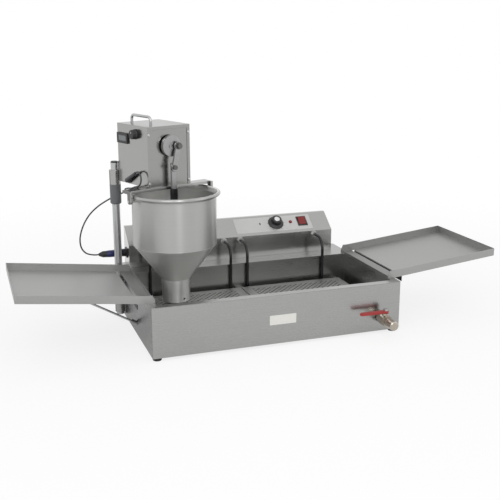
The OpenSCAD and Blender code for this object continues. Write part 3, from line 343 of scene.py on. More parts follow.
def fluted(piece, count, depth, band, reach):
    """Waves a turned grip: count flutes, in a band of heights and beyond a reach, both in millimetres."""
    for v in piece.data.vertices:
        out = math.hypot(v.co.x, v.co.y)
        if band[0] * MM < v.co.z < band[1] * MM and out > reach * MM:
            wave = math.cos(math.atan2(v.co.y, v.co.x) * count)
            v.co.x *= 1 - depth * (1 - wave)
            v.co.y *= 1 - depth * (1 - wave)


def plate(name, width, height, thick, corner, place):
    """A flat plate with rounded corners, its middle at the place's origin, sizes in millimetres."""
    bpy.ops.object.select_all(action="DESELECT")
    bpy.ops.mesh.primitive_plane_add(size=1.0)
    piece = named_active(name)
    piece.data.transform(Matrix.Diagonal((width * MM, height * MM, 1.0, 1.0)))
    editing(piece)
    if corner > 0:
        bpy.ops.mesh.bevel(offset=corner * MM, segments=5, affect="VERTICES")
    bpy.ops.mesh.select_all(action="SELECT")
    bpy.ops.mesh.extrude_region_move(TRANSFORM_OT_translate={"value": (0.0, 0.0, thick * MM)})
    closed(piece)
    piece.data.transform(place)
    return piece


def softened(node, width, finish):
    """A copy of a CAD node with its edges rounded by a width in millimetres, which stands for that node."""
    piece = new_piece(node + "_edged", NODES[node].data.copy())
    if piece.data.has_custom_normals:
        bpy.ops.mesh.customdata_custom_splitnormals_clear()
    editing(piece)
    bpy.ops.mesh.remove_doubles(threshold=2e-6)
    bpy.ops.mesh.dissolve_limited(angle_limit=math.radians(MERGED))
    only(piece)
    bevel = piece.modifiers.new("edge", "BEVEL")
    bevel.width = width * MM
    bevel.segments = 2
    bevel.limit_method = "ANGLE"
    bevel.angle_limit = math.radians(SHARP)
    bevel.use_clamp_overlap = False
    bpy.ops.object.modifier_apply(modifier="edge")
    settle(piece, finish)
    flat = piece.modifiers.new("flat_faces", "WEIGHTED_NORMAL")
    flat.keep_sharp = True
    flat.weight = 100
    bpy.ops.object.modifier_apply(modifier="flat_faces")
    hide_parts(node)
    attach(piece, BODY_OF[node])
    return piece


# Material helpers


def linear(code):
    """An sRGB hex colour as linear red, green, blue and alpha."""
    parts = [int(code[i:i + 2], 16) / 255 for i in (1, 3, 5)]
    return [p / 12.92 if p <= 0.04045 else ((p + 0.055) / 1.055) ** 2.4 for p in parts] + [1.0]


def shade(code, by):
    """A hex colour's linear value made lighter or darker by a factor."""
    return [min(1.0, c * by) for c in linear(code)[:3]] + [1.0]


def add(tree, kind, settings, inputs):
    """Adds a node with its settings, and fills or links its inputs by name or number."""
    node = tree.nodes.new(kind)
    for key, value in settings.items():
        setattr(node, key, value)
    for key, value in inputs.items():
        if isinstance(value, bpy.types.NodeSocket):
            tree.links.new(value, node.inputs[key])
        else:
            node.inputs[key].default_value = value
    return node


def blank(name):
    """A new material with an empty node tree, and that tree."""
    material = bpy.data.materials.new(name)
    material.use_nodes = True
    material.node_tree.nodes.clear()
    return material, material.node_tree


def maths(tree, operation, *values):
    """Result of one sum or comparison."""
    return add(tree, "ShaderNodeMath", {"operation": operation}, dict(enumerate(values))).outputs[0]


def vectors(tree, operation, *values):
    """Node of one sum on vectors."""
    return add(tree, "ShaderNodeVectorMath", {"operation": operation}, dict(enumerate(values)))


def part(tree, vector, axis):
    """One axis of a vector."""
    return add(tree, "ShaderNodeSeparateXYZ", {}, {0: vector}).outputs[axis]


def spread(tree, value, span, start, end):
    """A value within a span, mapped from start to end."""
    low, high = span
    return add(tree, "ShaderNodeMapRange", {}, {0: value, 1: low, 2: high, 3: start, 4: end}).outputs[0]


def tinted(tree, share, first, second):
    """A colour between two others."""
    return add(tree, "ShaderNodeMix", {"data_type": "RGBA"}, {0: share, 6: first, 7: second}).outputs[2]


# Rules that give other tones by place, most of them painted light or shade: each is one there and nought
# elsewhere


def faces_up(tree, place):
    """One on level upper faces, where the head's top is painted in shade."""
    return maths(tree, "GREATER_THAN", part(tree, place.outputs["Normal"], "Z"), LEVEL)


def leans_up(tree, place):
    """One on faces that look up, level or sloped, such as the control box's panel."""
    return maths(tree, "GREATER_THAN", part(tree, place.outputs["Normal"], "Z"), LEANING)


def faces_left(tree, place):
    """One on upright faces at the casing's left end, where shade is painted."""
    return maths(tree, "LESS_THAN", part(tree, place.outputs["Normal"], "X"), -LEVEL)


def faces_crank(tree, place):
    """One on the head's front, which is turned with the head and is painted in shade."""
    front = (math.sin(HEAD_TURN), -math.cos(HEAD_TURN), 0.0)
    toward = vectors(tree, "DOT_PRODUCT", place.outputs["Normal"], front)
    return maths(tree, "GREATER_THAN", toward.outputs["Value"], FACING)


def low_and_level(tree, place):
    """One on the pan's floor: low faces that look up, painted in shade under the screens."""
    low = maths(tree, "LESS_THAN", part(tree, place.outputs["Object"], "Z"), PAN_LOW * MM)
    return maths(tree, "MULTIPLY", leans_up(tree, place), low)


def on_rim(tree, place):
    """One on the pan's rim: above the casing's upper edge less a sheet."""
    return maths(tree, "GREATER_THAN", part(tree, place.outputs["Object"], "Z"), CORNER.z + RIM_UNDER * MM)


def on_cone(tree, place):
    """One on the hopper's cone, below its seam, which is painted light together with the nozzle."""
    return maths(tree, "LESS_THAN", part(tree, place.outputs["Object"], "Z"), CORNER.z + CONE_SEAM[1] * MM)


def inside_hopper(tree, place):
    """One on the hopper's inner wall, which looks towards its axis and is painted light."""
    low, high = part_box("nozzle_tube")
    out = vectors(tree, "SUBTRACT", place.outputs["Object"], tuple((low + high) / 2))
    level = vectors(tree, "MULTIPLY", out.outputs["Vector"], (1.0, 1.0, 0.0))
    along = vectors(tree, "DOT_PRODUCT", level.outputs["Vector"], place.outputs["Normal"])
    return maths(tree, "LESS_THAN", along.outputs["Value"], 0.0)


def on_seat(tree, place):
    """One on a tray's seat, from its upturned edge to its drain slot, where shade is painted."""
    away = maths(tree, "ABSOLUTE", part(tree, place.outputs["Object"], "X"))
    near = maths(tree, "LESS_THAN", away, SEAT_END * MM - CORNER.x)
    return maths(tree, "MULTIPLY", near, leans_up(tree, place))


def below_rim(tree, place):
    """One on a tray's drip plate, which hangs below the rim, where deep shade is painted."""
    return maths(tree, "LESS_THAN", part(tree, place.outputs["Object"], "Z"), CORNER.z + RIM_TOP * MM)


def brushed(name, code, rough, contrast, streak=70.0, pitch=1.1, bump=0.06, stretch=0.0, also=()):
    """Ground stainless sheet. Its scratches run level: along x on level faces and sideways on upright ones.
    The real ones are about 0.1 mm apart and are drawn coarser, at pitch millimetres, so that they show.
    stretch draws highlights out across the scratches, and also gives other tones by place, painted light and
    shade among them."""
    material, tree = blank(name)
    place = add(tree, "ShaderNodeTexCoord", {}, {})
    spot = place.outputs["Object"]
    upward = maths(tree, "ABSOLUTE", part(tree, place.outputs["Normal"], "Z"))
    level = maths(tree, "GREATER_THAN", upward, SCRATCHED_LEVEL)
    slow = 1 / (streak * MM)
    fast = 1 / (pitch * MM)
    flat = add(tree, "ShaderNodeMapping", {}, {"Vector": spot, "Scale": (slow, fast, fast)})
    wall = add(tree, "ShaderNodeMapping", {}, {"Vector": spot, "Scale": (slow, slow, fast)})
    way = add(tree, "ShaderNodeMix", {"data_type": "VECTOR"},
              {0: level, 4: wall.outputs[0], 5: flat.outputs[0]})
    scratch = add(tree, "ShaderNodeTexNoise", {}, {"Vector": way.outputs[1], "Scale": 1.0, "Detail": 3.0})
    cloud = add(tree, "ShaderNodeTexNoise", {}, {"Vector": spot, "Scale": 1 / (CLOUD * MM), "Detail": 2.0})
    mixed = maths(tree, "MULTIPLY_ADD", cloud.outputs[0], CLOUD_SHARE, scratch.outputs[0])
    tone = spread(tree, mixed, SHEET_NOISE, 0.0, 1.0)
    colour = tinted(tree, tone, shade(code, 1 - contrast), shade(code, 1 + contrast))
    for where, other in also:
        second = tinted(tree, tone, shade(other, 1 - contrast), shade(other, 1 + contrast))
        colour = tinted(tree, where(tree, place), colour, second)
    gloss = spread(tree, mixed, SHEET_NOISE, rough + SHEET_GLOSS[0], rough + SHEET_GLOSS[1])
    relief = add(tree, "ShaderNodeBump", {},
                 {"Strength": bump, "Distance": RELIEF * MM, "Height": scratch.outputs[0]})
    skin = add(tree, "ShaderNodeBsdfPrincipled", {},
               {"Base Color": colour, "Metallic": 1.0, "Roughness": gloss, "Normal": relief.outputs[0]})
    if stretch > 0:
        upright = add(tree, "ShaderNodeCombineXYZ", {}, {2: 1.0})
        tree.links.new(upright.outputs[0], skin.inputs["Tangent"])
        skin.inputs["Anisotropic"].default_value = stretch
    add(tree, "ShaderNodeOutputMaterial", {}, {0: skin.outputs[0]})
    return material


def plain(name, code, rough, contrast, grain, metal=0.0, bump=0.08, ior=1.5, coat=0.0):
    """A moulded, cast, plated or painted skin: grain of that size in millimetres, faint patches over it."""
    material, tree = blank(name)
    spot = add(tree, "ShaderNodeTexCoord", {}, {}).outputs["Object"]
    grit = add(tree, "ShaderNodeTexNoise", {}, {"Vector": spot, "Scale": 1 / (grain * MM), "Detail": 3.0})
    patch = add(tree, "ShaderNodeTexNoise", {}, {"Vector": spot, "Scale": 1 / (PATCH * MM), "Detail": 2.0})
    mixed = maths(tree, "ADD", grit.outputs[0], patch.outputs[0])
    tone = spread(tree, mixed, SKIN_NOISE, 0.0, 1.0)
    colour = tinted(tree, tone, shade(code, 1 - contrast), shade(code, 1 + contrast))
    gloss = spread(tree, mixed, SKIN_NOISE, rough + SKIN_GLOSS[0], rough + SKIN_GLOSS[1])
    relief = add(tree, "ShaderNodeBump", {},
                 {"Strength": bump, "Distance": RELIEF * MM, "Height": grit.outputs[0]})
    skin = add(tree, "ShaderNodeBsdfPrincipled", {},
               {"Base Color": colour, "Metallic": metal, "Roughness": gloss, "Normal": relief.outputs[0],
                "Coat Weight": coat})
    if metal < 0.5:
        skin.inputs["IOR"].default_value = ior
    add(tree, "ShaderNodeOutputMaterial", {}, {0: skin.outputs[0]})
    return material


FINISHES = {}


def mixed_finishes(colours):
    """Every finish of the machine, named for what the real one is; some carry lighter and darker tones by
    place that are painted light and shade.
    """
    sheets = {
        # Ground stainless sheet, 1.5 mm: soft grey, level scratches, broad dull highlights; the casing's left
        # end darker, as painted shade
        "sheet_stainless_ground": dict(
            code=colours.sheet, rough=0.25, contrast=0.035, bump=0.006,
            also=((faces_left, colours.sheet_left_shade),)),
        # Drain trays: same sheet, washed dull, even grey, with painted shade at the seat and deeper painted
        # shade on the drip plate
        "tray_stainless_washed": dict(
            code=colours.tray, rough=0.44, contrast=0.025, bump=0.004,
            also=((on_seat, colours.tray_seat_shade), (below_rim, colours.tray_drip_shade))),
        # Pan interior: same sheet, duller from hot oil and scrubbing; its floor darker, as painted shade
        # under the screens
        "pan_stainless_dulled": dict(
            code=colours.pan, rough=0.3, contrast=0.06, streak=45.0, bump=0.015,
            also=((low_and_level, colours.pan_floor_shade), (on_rim, colours.sheet))),
        # Head and control box: finer grind of the same sheet, a little brighter; the head's top and front
        # darker, as painted shade
        "box_stainless_fine": dict(
            code=colours.box, rough=0.2, contrast=0.035, pitch=0.9, bump=0.008,
            also=((faces_up, colours.box_top_shade), (faces_crank, colours.box_front_shade))),
        # Control box: same fine sheet, painted far lighter as painted light, its sloped panel nearer the
        # sheet's tone
        "case_stainless_fine": dict(
            code=colours.case, rough=0.19, contrast=0.035, pitch=0.9, bump=0.006,
            also=((leans_up, colours.case_panel),)),
        # Spun hopper and pressed nozzle: brighter, rings round the axis; the cone, the nozzle and the inner
        # wall far lighter, as painted light
        "hopper_stainless_spun": dict(
            code=colours.hopper, rough=0.33, contrast=0.03, streak=200.0, pitch=1.6, bump=0.02, stretch=0.8,
            also=((on_cone, colours.cone), (inside_hopper, colours.hopper_inside_light))),
    }
    skins = {
        # Drawn tube of the column, handle and braces: bright, nearly smooth
        "tube_stainless_drawn": dict(
            code=colours.tube, rough=0.34, contrast=0.015, grain=3.0, metal=1.0, bump=0.004),
        # Turned steel of crank, link and rod
        "steel_turned": dict(code=colours.turned, rough=0.3, contrast=0.08, grain=0.8, metal=1.0, bump=0.06),
        # Zinc-plated screws and nuts: pale, slightly milky
        "zinc_plate": dict(code="#BDBFBE", rough=0.32, contrast=0.06, grain=0.6, metal=1.0, bump=0.04),
        # Oiled crank and link bolts: dark steel
        "bolt_steel_oiled": dict(code="#6C6C6B", rough=0.36, contrast=0.1, grain=0.8, metal=1.0, bump=0.04),
        # Blued coupling of the plunger: dark, nearly polished, its darkness partly painted shade where the
        # rod enters the hopper
        "steel_blued_and_shade": dict(code="#57585A", rough=0.2, contrast=0.08, grain=1.0, metal=1.0, bump=0.01),
        # Nickel-plated brass valve: warm pale metal
        "nickel_plated_brass": dict(
            code="#B5ADA2", rough=0.27, contrast=0.08, grain=1.2, metal=1.0, bump=0.05),
        # Heating rods: steel sheath burnt dark by heat
        "rod_sheath_burnt": dict(code="#3A393A", rough=0.42, contrast=0.25, grain=3.0, metal=0.85, bump=0.08),
        # Punched screens: thin stainless sheet, dull from frying
        "screen_stainless_punched": dict(
            code="#A6A6A4", rough=0.5, contrast=0.05, grain=2.0, metal=1.0, bump=0.01),
        # Die-cast collar with a dark satin coat
        "cast_dark_coat": dict(code="#626466", rough=0.45, contrast=0.10, grain=0.7, bump=0.10),
        # Phenolic knobs: near black, soft shine
        "phenolic_black": dict(code="#0F0F10", rough=0.5, contrast=0.2, grain=0.5, bump=0.06, ior=1.6),
        # ABS mouldings of switch, bezel, socket and plug: black, fine spark grain
        "abs_black": dict(code="#1C1C1E", rough=0.42, contrast=0.2, grain=0.45, bump=0.16),
        # Nylon collar of the plug: dark blue
        "nylon_blue": dict(code="#22265C", rough=0.4, contrast=0.15, grain=0.8, bump=0.08),
        # Nylon elbow gland: dark grey
        "nylon_grey": dict(code="#3F4042", rough=0.45, contrast=0.12, grain=0.8, bump=0.1),
        # Vinyl dip on the valve's lever: red, slightly uneven
        "vinyl_red": dict(code=colours.lever, rough=0.38, contrast=0.12, grain=2.2, bump=0.12),
        # Polycarbonate rocker and lamp lens: clear red, glossy
        "polycarbonate_red": dict(code=colours.rocker, rough=0.26, contrast=0.12, grain=1.0, bump=0.02),
        "lamp_lens_red": dict(
            code="#7A1618", rough=0.12, contrast=0.15, grain=0.8, bump=0.02, ior=1.58, coat=0.4),
        # Unlit liquid crystal behind a clear window: grey green
        "display_glass": dict(code="#5E6365", rough=0.2, contrast=0.05, grain=4.0, bump=0.0, coat=0.5),
        # Rubber feet: black, dull
        "rubber_black": dict(code="#1E1E1E", rough=0.7, contrast=0.2, grain=0.6, bump=0.2),
        # Flexible PVC jacket of the lead: dark grey, dull shine
        "pvc_jacket": dict(code="#3B3D40", rough=0.45, contrast=0.12, grain=1.2, bump=0.08),
        # PTFE piston: white, waxy
        "ptfe_white": dict(code="#E4E3DE", rough=0.4, contrast=0.03, grain=1.5, bump=0.03),
        # Anodised aluminium fascia and cap: pale satin
        "aluminium_anodised": dict(
            code=colours.fascia, rough=0.34, contrast=0.03, grain=0.6, metal=0.55, bump=0.03),
        "aluminium_cap": dict(code="#DCDCDC", rough=0.3, contrast=0.04, grain=0.6, metal=0.8, bump=0.03),
        # Blank polyester plate on the front: off-white film
        "polyester_plate": dict(code="#DAD9D4", rough=0.4, contrast=0.03, grain=3.0, bump=0.02),
        # Printing ink of marks
        "ink_dark": dict(code="#2A2A2C", rough=0.5, contrast=0.1, grain=1.0, bump=0.0),
        "ink_white": dict(code="#E8E8E6", rough=0.45, contrast=0.04, grain=1.0, bump=0.0),
        # Painted motor and cast gearbox inside the head
        "motor_paint": dict(code="#4C5053", rough=0.45, contrast=0.1, grain=1.0, bump=0.1),
        "cast_aluminium": dict(code="#9A9C9C", rough=0.5, contrast=0.1, grain=0.8, metal=1.0, bump=0.25),
    }
    FINISHES.update({name: brushed(name, **look) for name, look in sheets.items()})
    FINISHES.update({name: plain(name, **look) for name, look in skins.items()})


# Carried-over nodes by their finish
NODE_FINISH = {
    "sheet_stainless_ground": ("base_plate", "column_brackets", "head_sleeve"),
    "pan_stainless_dulled": ("screen_rests",),
    "hopper_stainless_spun": ("hopper", "nozzle_tube"),
    "tube_stainless_drawn": ("left_brace", "right_brace", "column_tube", "top_handle"),
    "steel_turned": ("brace_cups", "shaft_bush", "crank_disc", "connecting_link", "plunger_rod"),
    "steel_blued_and_shade": ("rod_coupling",),
    "bolt_steel_oiled": ("crank_bolt", "link_bolt"),
    "zinc_plate": ("valve_stem", "element_fittings", "case_screws", "head_screws"),
    "nickel_plated_brass": ("drain_pipe", "valve_body", "valve_end_cap"),
    "rod_sheath_burnt": ("heating_element_left", "heating_element_right"),
    "cast_dark_coat": ("height_collar",),
    "cast_aluminium": ("gearbox",),
    "motor_paint": ("gear_motor",),
    "rubber_black": ("rubber_feet",),
    "ptfe_white": ("thermostat_body", "batter_piston"),
    "phenolic_black": ("collar_screw",),
    "abs_black": ("switch_body", "lead_socket", "column_cap", "lead_plug"),
    "nylon_grey": ("mains_gland", "lead_gland"),
    "nylon_blue": ("plug_collar",),
    "lamp_lens_red": ("pilot_lamp",),
    "display_glass": ("display_window",),
}

# Sheet and moulded nodes that get rounded edges: bevel width in millimetres and finish
EDGED = {
    "outer_casing": (0.45, "sheet_stainless_ground"),
    "oil_pan": (0.4, "pan_stainless_dulled"),
    "control_case": (0.45, "case_stainless_fine"),
    "control_back_cover": (0.4, "sheet_stainless_ground"),
    "left_tray": (0.4, "tray_stainless_washed"),
    "right_tray": (0.4, "tray_stainless_washed"),
    "head_chassis": (0.4, "box_stainless_fine"),
    "head_cover": (0.45, "box_stainless_fine"),
    "hopper_bracket": (0.9, "sheet_stainless_ground"),
    "valve_lever": (1.4, "vinyl_red"),
    "switch_rocker": (0.5, "polycarbonate_red"),
    "display_bezel": (0.7, "abs_black"),
}


class FryerSizes(bpy.types.PropertyGroup):
    """Sizes of the visible details."""

    lead_thick: bpy.props.FloatProperty(
        name="Lead", description="Diameter of the head's lead", default=0.0045, unit="LENGTH")
    screen_cell: bpy.props.FloatProperty(
        name="Screen pitch", description="Pitch of the rows of holes", default=0.0085, unit="LENGTH")
    screen_hole: bpy.props.FloatProperty(
        name="Screen hole", description="Width of the screens' holes", default=0.0068, unit="LENGTH")
    screen_border: bpy.props.IntProperty(
        name="Screen border", description="Cells left plain round each screen", default=3)
    knob_flutes: bpy.props.IntProperty(
        name="Knob flutes", description="Flutes round the thermostat's grip", default=24)
    speed_flutes: bpy.props.IntProperty(
        name="Speed flutes", description="Flutes round the speed knob's grip", default=18)
    fascia_length: bpy.props.FloatProperty(
        name="Fascia", description="Length of the control panel's pale plate", default=0.255, unit="LENGTH")


class FryerColours(bpy.types.PropertyGroup):
    """Colours of the main finishes, as sRGB hex; some are lighter or darker copies of a finish that paint
    light and shade.
    """

    sheet: bpy.props.StringProperty(name="Sheet", description="Ground stainless sheet", default="#A8A8A7")
    # Casing's left end: painted shade, darker than the rest of the sheet
    sheet_left_shade: bpy.props.StringProperty(name="Left end", description="Casing's left end", default="#757574")
    pan: bpy.props.StringProperty(name="Pan", description="Dulled walls of the oil pan", default="#A2A2A0")
    # Pan floor: painted shade under the screens
    pan_floor_shade: bpy.props.StringProperty(name="Pan floor", description="Oil pan's floor", default="#7C7C7A")
    tray: bpy.props.StringProperty(name="Trays", description="Washed sheet of the trays", default="#A6A6A5")
    # Trays' seats and drip plates: painted shade, darker than the trays' sheet
    tray_seat_shade: bpy.props.StringProperty(name="Seats", description="Trays' oily seats", default="#8C8C8B")
    tray_drip_shade: bpy.props.StringProperty(name="Drips", description="Trays' drip plates", default="#2C2C2B")
    hopper: bpy.props.StringProperty(name="Hopper", description="Spun steel of the hopper", default="#AEAEAC")
    # Hopper's inner wall, cone and nozzle: painted light, far lighter than its outer wall
    hopper_inside_light: bpy.props.StringProperty(
        name="Hopper inside", description="Hopper's inner wall", default="#E2E2E0")
    cone: bpy.props.StringProperty(name="Cone", description="Hopper's cone and nozzle", default="#E6E6E4")
    box: bpy.props.StringProperty(name="Head", description="Head's box", default="#A2A2A0")
    # Head's top and front: painted shade, darker than its sides
    box_top_shade: bpy.props.StringProperty(name="Head top", description="Head's top", default="#8A8A88")
    box_front_shade: bpy.props.StringProperty(name="Head front", description="Head's front", default="#9B9B99")
    # Control box: painted light, far lighter than the sheet; its sloped panel less so
    case: bpy.props.StringProperty(name="Control box", description="Control box", default="#CACAC8")
    case_panel: bpy.props.StringProperty(name="Panel", description="Sloped panel", default="#A8A8A6")
    tube: bpy.props.StringProperty(name="Tube", description="Drawn tube", default="#B9BABA")
    turned: bpy.props.StringProperty(name="Turned", description="Turned steel parts", default="#A2A2A2")
    lever: bpy.props.StringProperty(name="Lever", description="Vinyl on the valve's lever", default="#9E2B2C")
    rocker: bpy.props.StringProperty(name="Rocker", description="Power rocker", default="#7A1A17")
    fascia: bpy.props.StringProperty(name="Fascia", description="Panel plate", default="#BEBEBC")
    floor: bpy.props.StringProperty(name="Floor", description="Pale floor", default="#F0F0F0")


class FRYER_OT_stage(bpy.types.Operator):
    """Sets the camera, the pale floor, the lamps and the world"""

    bl_idname = "fryer.stage"
    bl_label = "Stage"

    def execute(self, context):
        scene = context.scene
        scene.view_settings.view_transform = "Standard"
        lens = bpy.data.cameras.new("photo_camera")
        lens.lens = CAMERA_LENS
        lens.sensor_width = CAMERA_SENSOR
        lens.clip_end = CAMERA_REACH
        camera = bpy.data.objects.new("photo_camera", lens)
        camera.location = CAMERA_PLACE
        camera.rotation_euler = (math.radians(CAMERA_TILT), 0.0, math.radians(CAMERA_TURN))
        scene.collection.objects.link(camera)
        scene.camera = camera
        self.floor(scene.fryer_colours.floor)
        self.lamps(scene)
        self.world(scene)
        return {"FINISHED"}

    def fade(self, tree, away, near):
        """A share that grows from near the machine to one far off."""
        return add(tree, "ShaderNodeMapRange", {"interpolation_type": "SMOOTHSTEP"},
                   {0: away, 1: FADE_START, 2: FADE_END, 3: near, 4: 1.0}).outputs[0]

    def floor(self, code):
        """Paper floor that fades to white away from the machine, less so in reflections."""
        bpy.ops.object.select_all(action="DESELECT")
        bpy.ops.mesh.primitive_plane_add(size=FLOOR_SIZE)
        ground = bpy.context.view_layer.objects.active
        ground.name = "pale_floor"
        material, tree = blank("floor_paper")
        matt = add(tree, "ShaderNodeBsdfDiffuse", {}, {"Color": linear(code)})
        white = add(tree, "ShaderNodeEmission", {}, {"Color": (1, 1, 1, 1), "Strength": 1.0})
        place = add(tree, "ShaderNodeTexCoord", {}, {})
        away = vectors(tree, "LENGTH", place.outputs["Object"]).outputs["Value"]
        ray = add(tree, "ShaderNodeLightPath", {}, {}).outputs
        mirrored = maths(tree, "MULTIPLY", ray["Is Glossy Ray"], self.fade(tree, away, NEAR_WHITE_MIRRORED))
        clear = maths(tree, "MAXIMUM", ray["Is Camera Ray"], ray["Is Transmission Ray"])
        straight = maths(tree, "MULTIPLY", clear, self.fade(tree, away, NEAR_WHITE))
        share = maths(tree, "MAXIMUM", mirrored, straight)
        both = add(tree, "ShaderNodeMixShader", {}, {0: share, 1: matt.outputs[0], 2: white.outputs[0]})
        add(tree, "ShaderNodeOutputMaterial", {}, {0: both.outputs[0]})
        ground.data.materials.append(material)

    def lamps(self, scene):
        """Softboxes that look at the machine."""
        for name, (place, size, power) in LAMPS.items():
            lamp = bpy.data.lights.new(name, "AREA")
            lamp.shape = "RECTANGLE"
            lamp.size = size[0]
            lamp.size_y = size[1]
            lamp.energy = power
            holder = bpy.data.objects.new(name, lamp)
            holder.location = place
            holder.rotation_euler = (LAMP_AIM - Vector(place)).to_track_quat("-Z", "Y").to_euler()
            scene.collection.objects.link(holder)

    def world(self, scene):
        """White surroundings, a little dimmer as a light than where they are seen."""
        world = bpy.data.worlds.new("studio_white")
        scene.world = world
        world.use_nodes = True
        tree = world.node_tree
        tree.nodes.clear()
        ray = add(tree, "ShaderNodeLightPath", {}, {}).outputs
        looked = maths(tree, "MAXIMUM", ray["Is Camera Ray"], ray["Is Glossy Ray"])
        seen = maths(tree, "MAXIMUM", looked, ray["Is Transmission Ray"])
        light = add(tree, "ShaderNodeBackground", {}, {"Color": (1, 1, 1, 1), "Strength": WORLD_LIGHT})
        white = add(tree, "ShaderNodeBackground", {}, {"Color": (1, 1, 1, 1), "Strength": 1.0})
        both = add(tree, "ShaderNodeMixShader", {}, {0: seen, 1: light.outputs[0], 2: white.outputs[0]})
        add(tree, "ShaderNodeOutputWorld", {}, {0: both.outputs[0]})


class FRYER_OT_materials(bpy.types.Operator):
    """Mixes the machine's finishes"""

    bl_idname = "fryer.materials"
    bl_label = "Materials"

    def execute(self, context):
        mixed_finishes(context.scene.fryer_colours)
        return {"FINISHED"}


class FRYER_OT_lead(bpy.types.Operator):
    """Lays the head's lead from the elbow gland to the plug"""

    bl_idname = "fryer.lead"
    bl_label = "Head lead"

    def execute(self, context):
        thick = context.scene.fryer_sizes.lead_thick
        stops = [in_head(*p) for p in LEAD_LOOP] + [in_tank(*p) for p in LEAD_DROP]
        path = self.smooth(stops, LEAD_STEPS)
        curve = bpy.data.curves.new("lead_flex", "CURVE")
        curve.dimensions = "3D"
        curve.bevel_depth = thick / 2
        curve.bevel_resolution = 3
        curve.use_fill_caps = True
        line = curve.splines.new("POLY")
        line.points.add(len(path) - 1)
        for point, place in zip(line.points, path):
            point.co = (*place, 1.0)
        new_piece("lead_flex", curve)
        bpy.ops.object.convert(target="MESH")
        lead = settle(context.view_layer.objects.active, "pvc_jacket", SHARP_ROUND)
        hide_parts("lead_cord")
        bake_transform(lead)
        return {"FINISHED"}

    def smooth(self, stops, steps):
        """Points of one smooth curve through the stops."""
        last = len(stops) - 1
        points = []
        for i in range(last):
            a = stops[max(i - 1, 0)]
            b = stops[i]
            c = stops[i + 1]
            d = stops[min(i + 2, last)]
            square = 2 * a - 5 * b + 4 * c - d
            cube = 3 * (b - c) + d - a
            for k in range(steps):
                t = k / steps
                points.append(b + 0.5 * t * ((c - a) + t * (square + t * cube)))
        points.append(stops[last])
        return points


class FRYER_OT_finishes(bpy.types.Operator):
    """Gives each carried-over node its finish"""

    bl_idname = "fryer.finishes"
    bl_label = "Finishes"

    def execute(self, context):
        for finish, nodes in NODE_FINISH.items():
            for node in nodes:
                slots = NODES[node].data.materials
                slots.clear()
                slots.append(FINISHES[finish])
        return {"FINISHED"}


class FRYER_OT_folded_edges(bpy.types.Operator):
    """Rounds the edges of the sheet-metal and moulded pieces"""

    bl_idname = "fryer.folded_edges"
    bl_label = "Folded edges"

    def execute(self, context):
        for node, (width, finish) in EDGED.items():
            softened(node, width, finish)
        return {"FINISHED"}


class FRYER_OT_screens(bpy.types.Operator):
    """Punches staggered holes through the two frying screens and leaves their borders plain"""

    bl_idname = "fryer.screens"
    bl_label = "Frying screens"

    def execute(self, context):
        sizes = context.scene.fryer_sizes
        for node in ("left_screen", "right_screen"):
            self.screen(node, sizes.screen_cell, sizes.screen_hole, sizes.screen_border)
        return {"FINISHED"}

    def screen(self, node, cell, hole, border):
        """One screen: a grid of cells, every other one inset and cut out, then made a sheet."""
        low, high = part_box(node)
        size = high - low
        middle = (low + high) / 2
        across = round(size.x / cell)
        deep = round(size.y / cell)
        bpy.ops.object.select_all(action="DESELECT")
        bpy.ops.mesh.primitive_grid_add(x_subdivisions=across, y_subdivisions=deep, size=1.0)
        sheet = named_active(node + "_punched")
        place = Matrix.Translation((middle.x, middle.y, high.z))
        sheet.data.transform(place @ Matrix.Diagonal((size.x, size.y, 1.0, 1.0)))
        editing(sheet)
        bpy.ops.mesh.select_mode(type="FACE")
        bpy.ops.mesh.select_all(action="DESELECT")
        bpy.ops.object.mode_set(mode="OBJECT")
        for face in sheet.data.polygons:
            i = int((face.center.x - low.x) / size.x * across)
            j = int((face.center.y - low.y) / size.y * deep)
            inside = border <= i < across - border and border <= j < deep - border
            face.select = inside and (i + j) % 2 == 0
        bpy.ops.object.mode_set(mode="EDIT")
        bpy.ops.mesh.inset(thickness=(cell - hole) / 2, use_individual=True)
        bpy.ops.mesh.delete(type="FACE")
        bpy.ops.mesh.select_all(action="SELECT")
        bpy.ops.mesh.extrude_region_move(TRANSFORM_OT_translate={"value": (0.0, 0.0, -size.z)})
        closed(sheet)
        settle(sheet, "screen_stainless_punched")
        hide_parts(node)
        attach(sheet, BODY_OF[node])


class FRYER_OT_thermostat_knob(bpy.types.Operator):
    """Turns the thermostat's fluted knob, its pale cap and its pointer"""

    bl_idname = "fryer.thermostat_knob"
    bl_label = "Thermostat knob"

    def execute(self, context):
        flutes = context.scene.fryer_sizes.knob_flutes
        place = on_panel(DIAL_X, DIAL_UP, DIAL_GAP)
        grip = turned("thermostat_grip", THERMOSTAT_GRIP, 4 * flutes, Matrix())
        fluted(grip, flutes, **THERMOSTAT_FLUTES)
        grip.data.transform(place)
        settle(grip, "phenolic_black", SHARP_GRIP)
        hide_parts("thermostat_knob")
        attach(grip, "thermostat_dial")
        cap = turned("thermostat_cap", THERMOSTAT_CAP, CAP_STEPS, place)
        settle(cap, "aluminium_cap", SHARP_CAP)
        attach(cap, "thermostat_dial")
        out, up = THERMOSTAT_POINTER_AT
        slope = Matrix.Rotation(math.radians(SKIRT_SLOPE), 4, "X")
        skirt = Matrix.Translation((0, out * MM, up * MM)) @ slope
        arrow = plate("thermostat_pointer", *THERMOSTAT_POINTER, place @ skirt)
        settle(arrow, "ink_white")
        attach(arrow, "thermostat_dial")
        return {"FINISHED"}


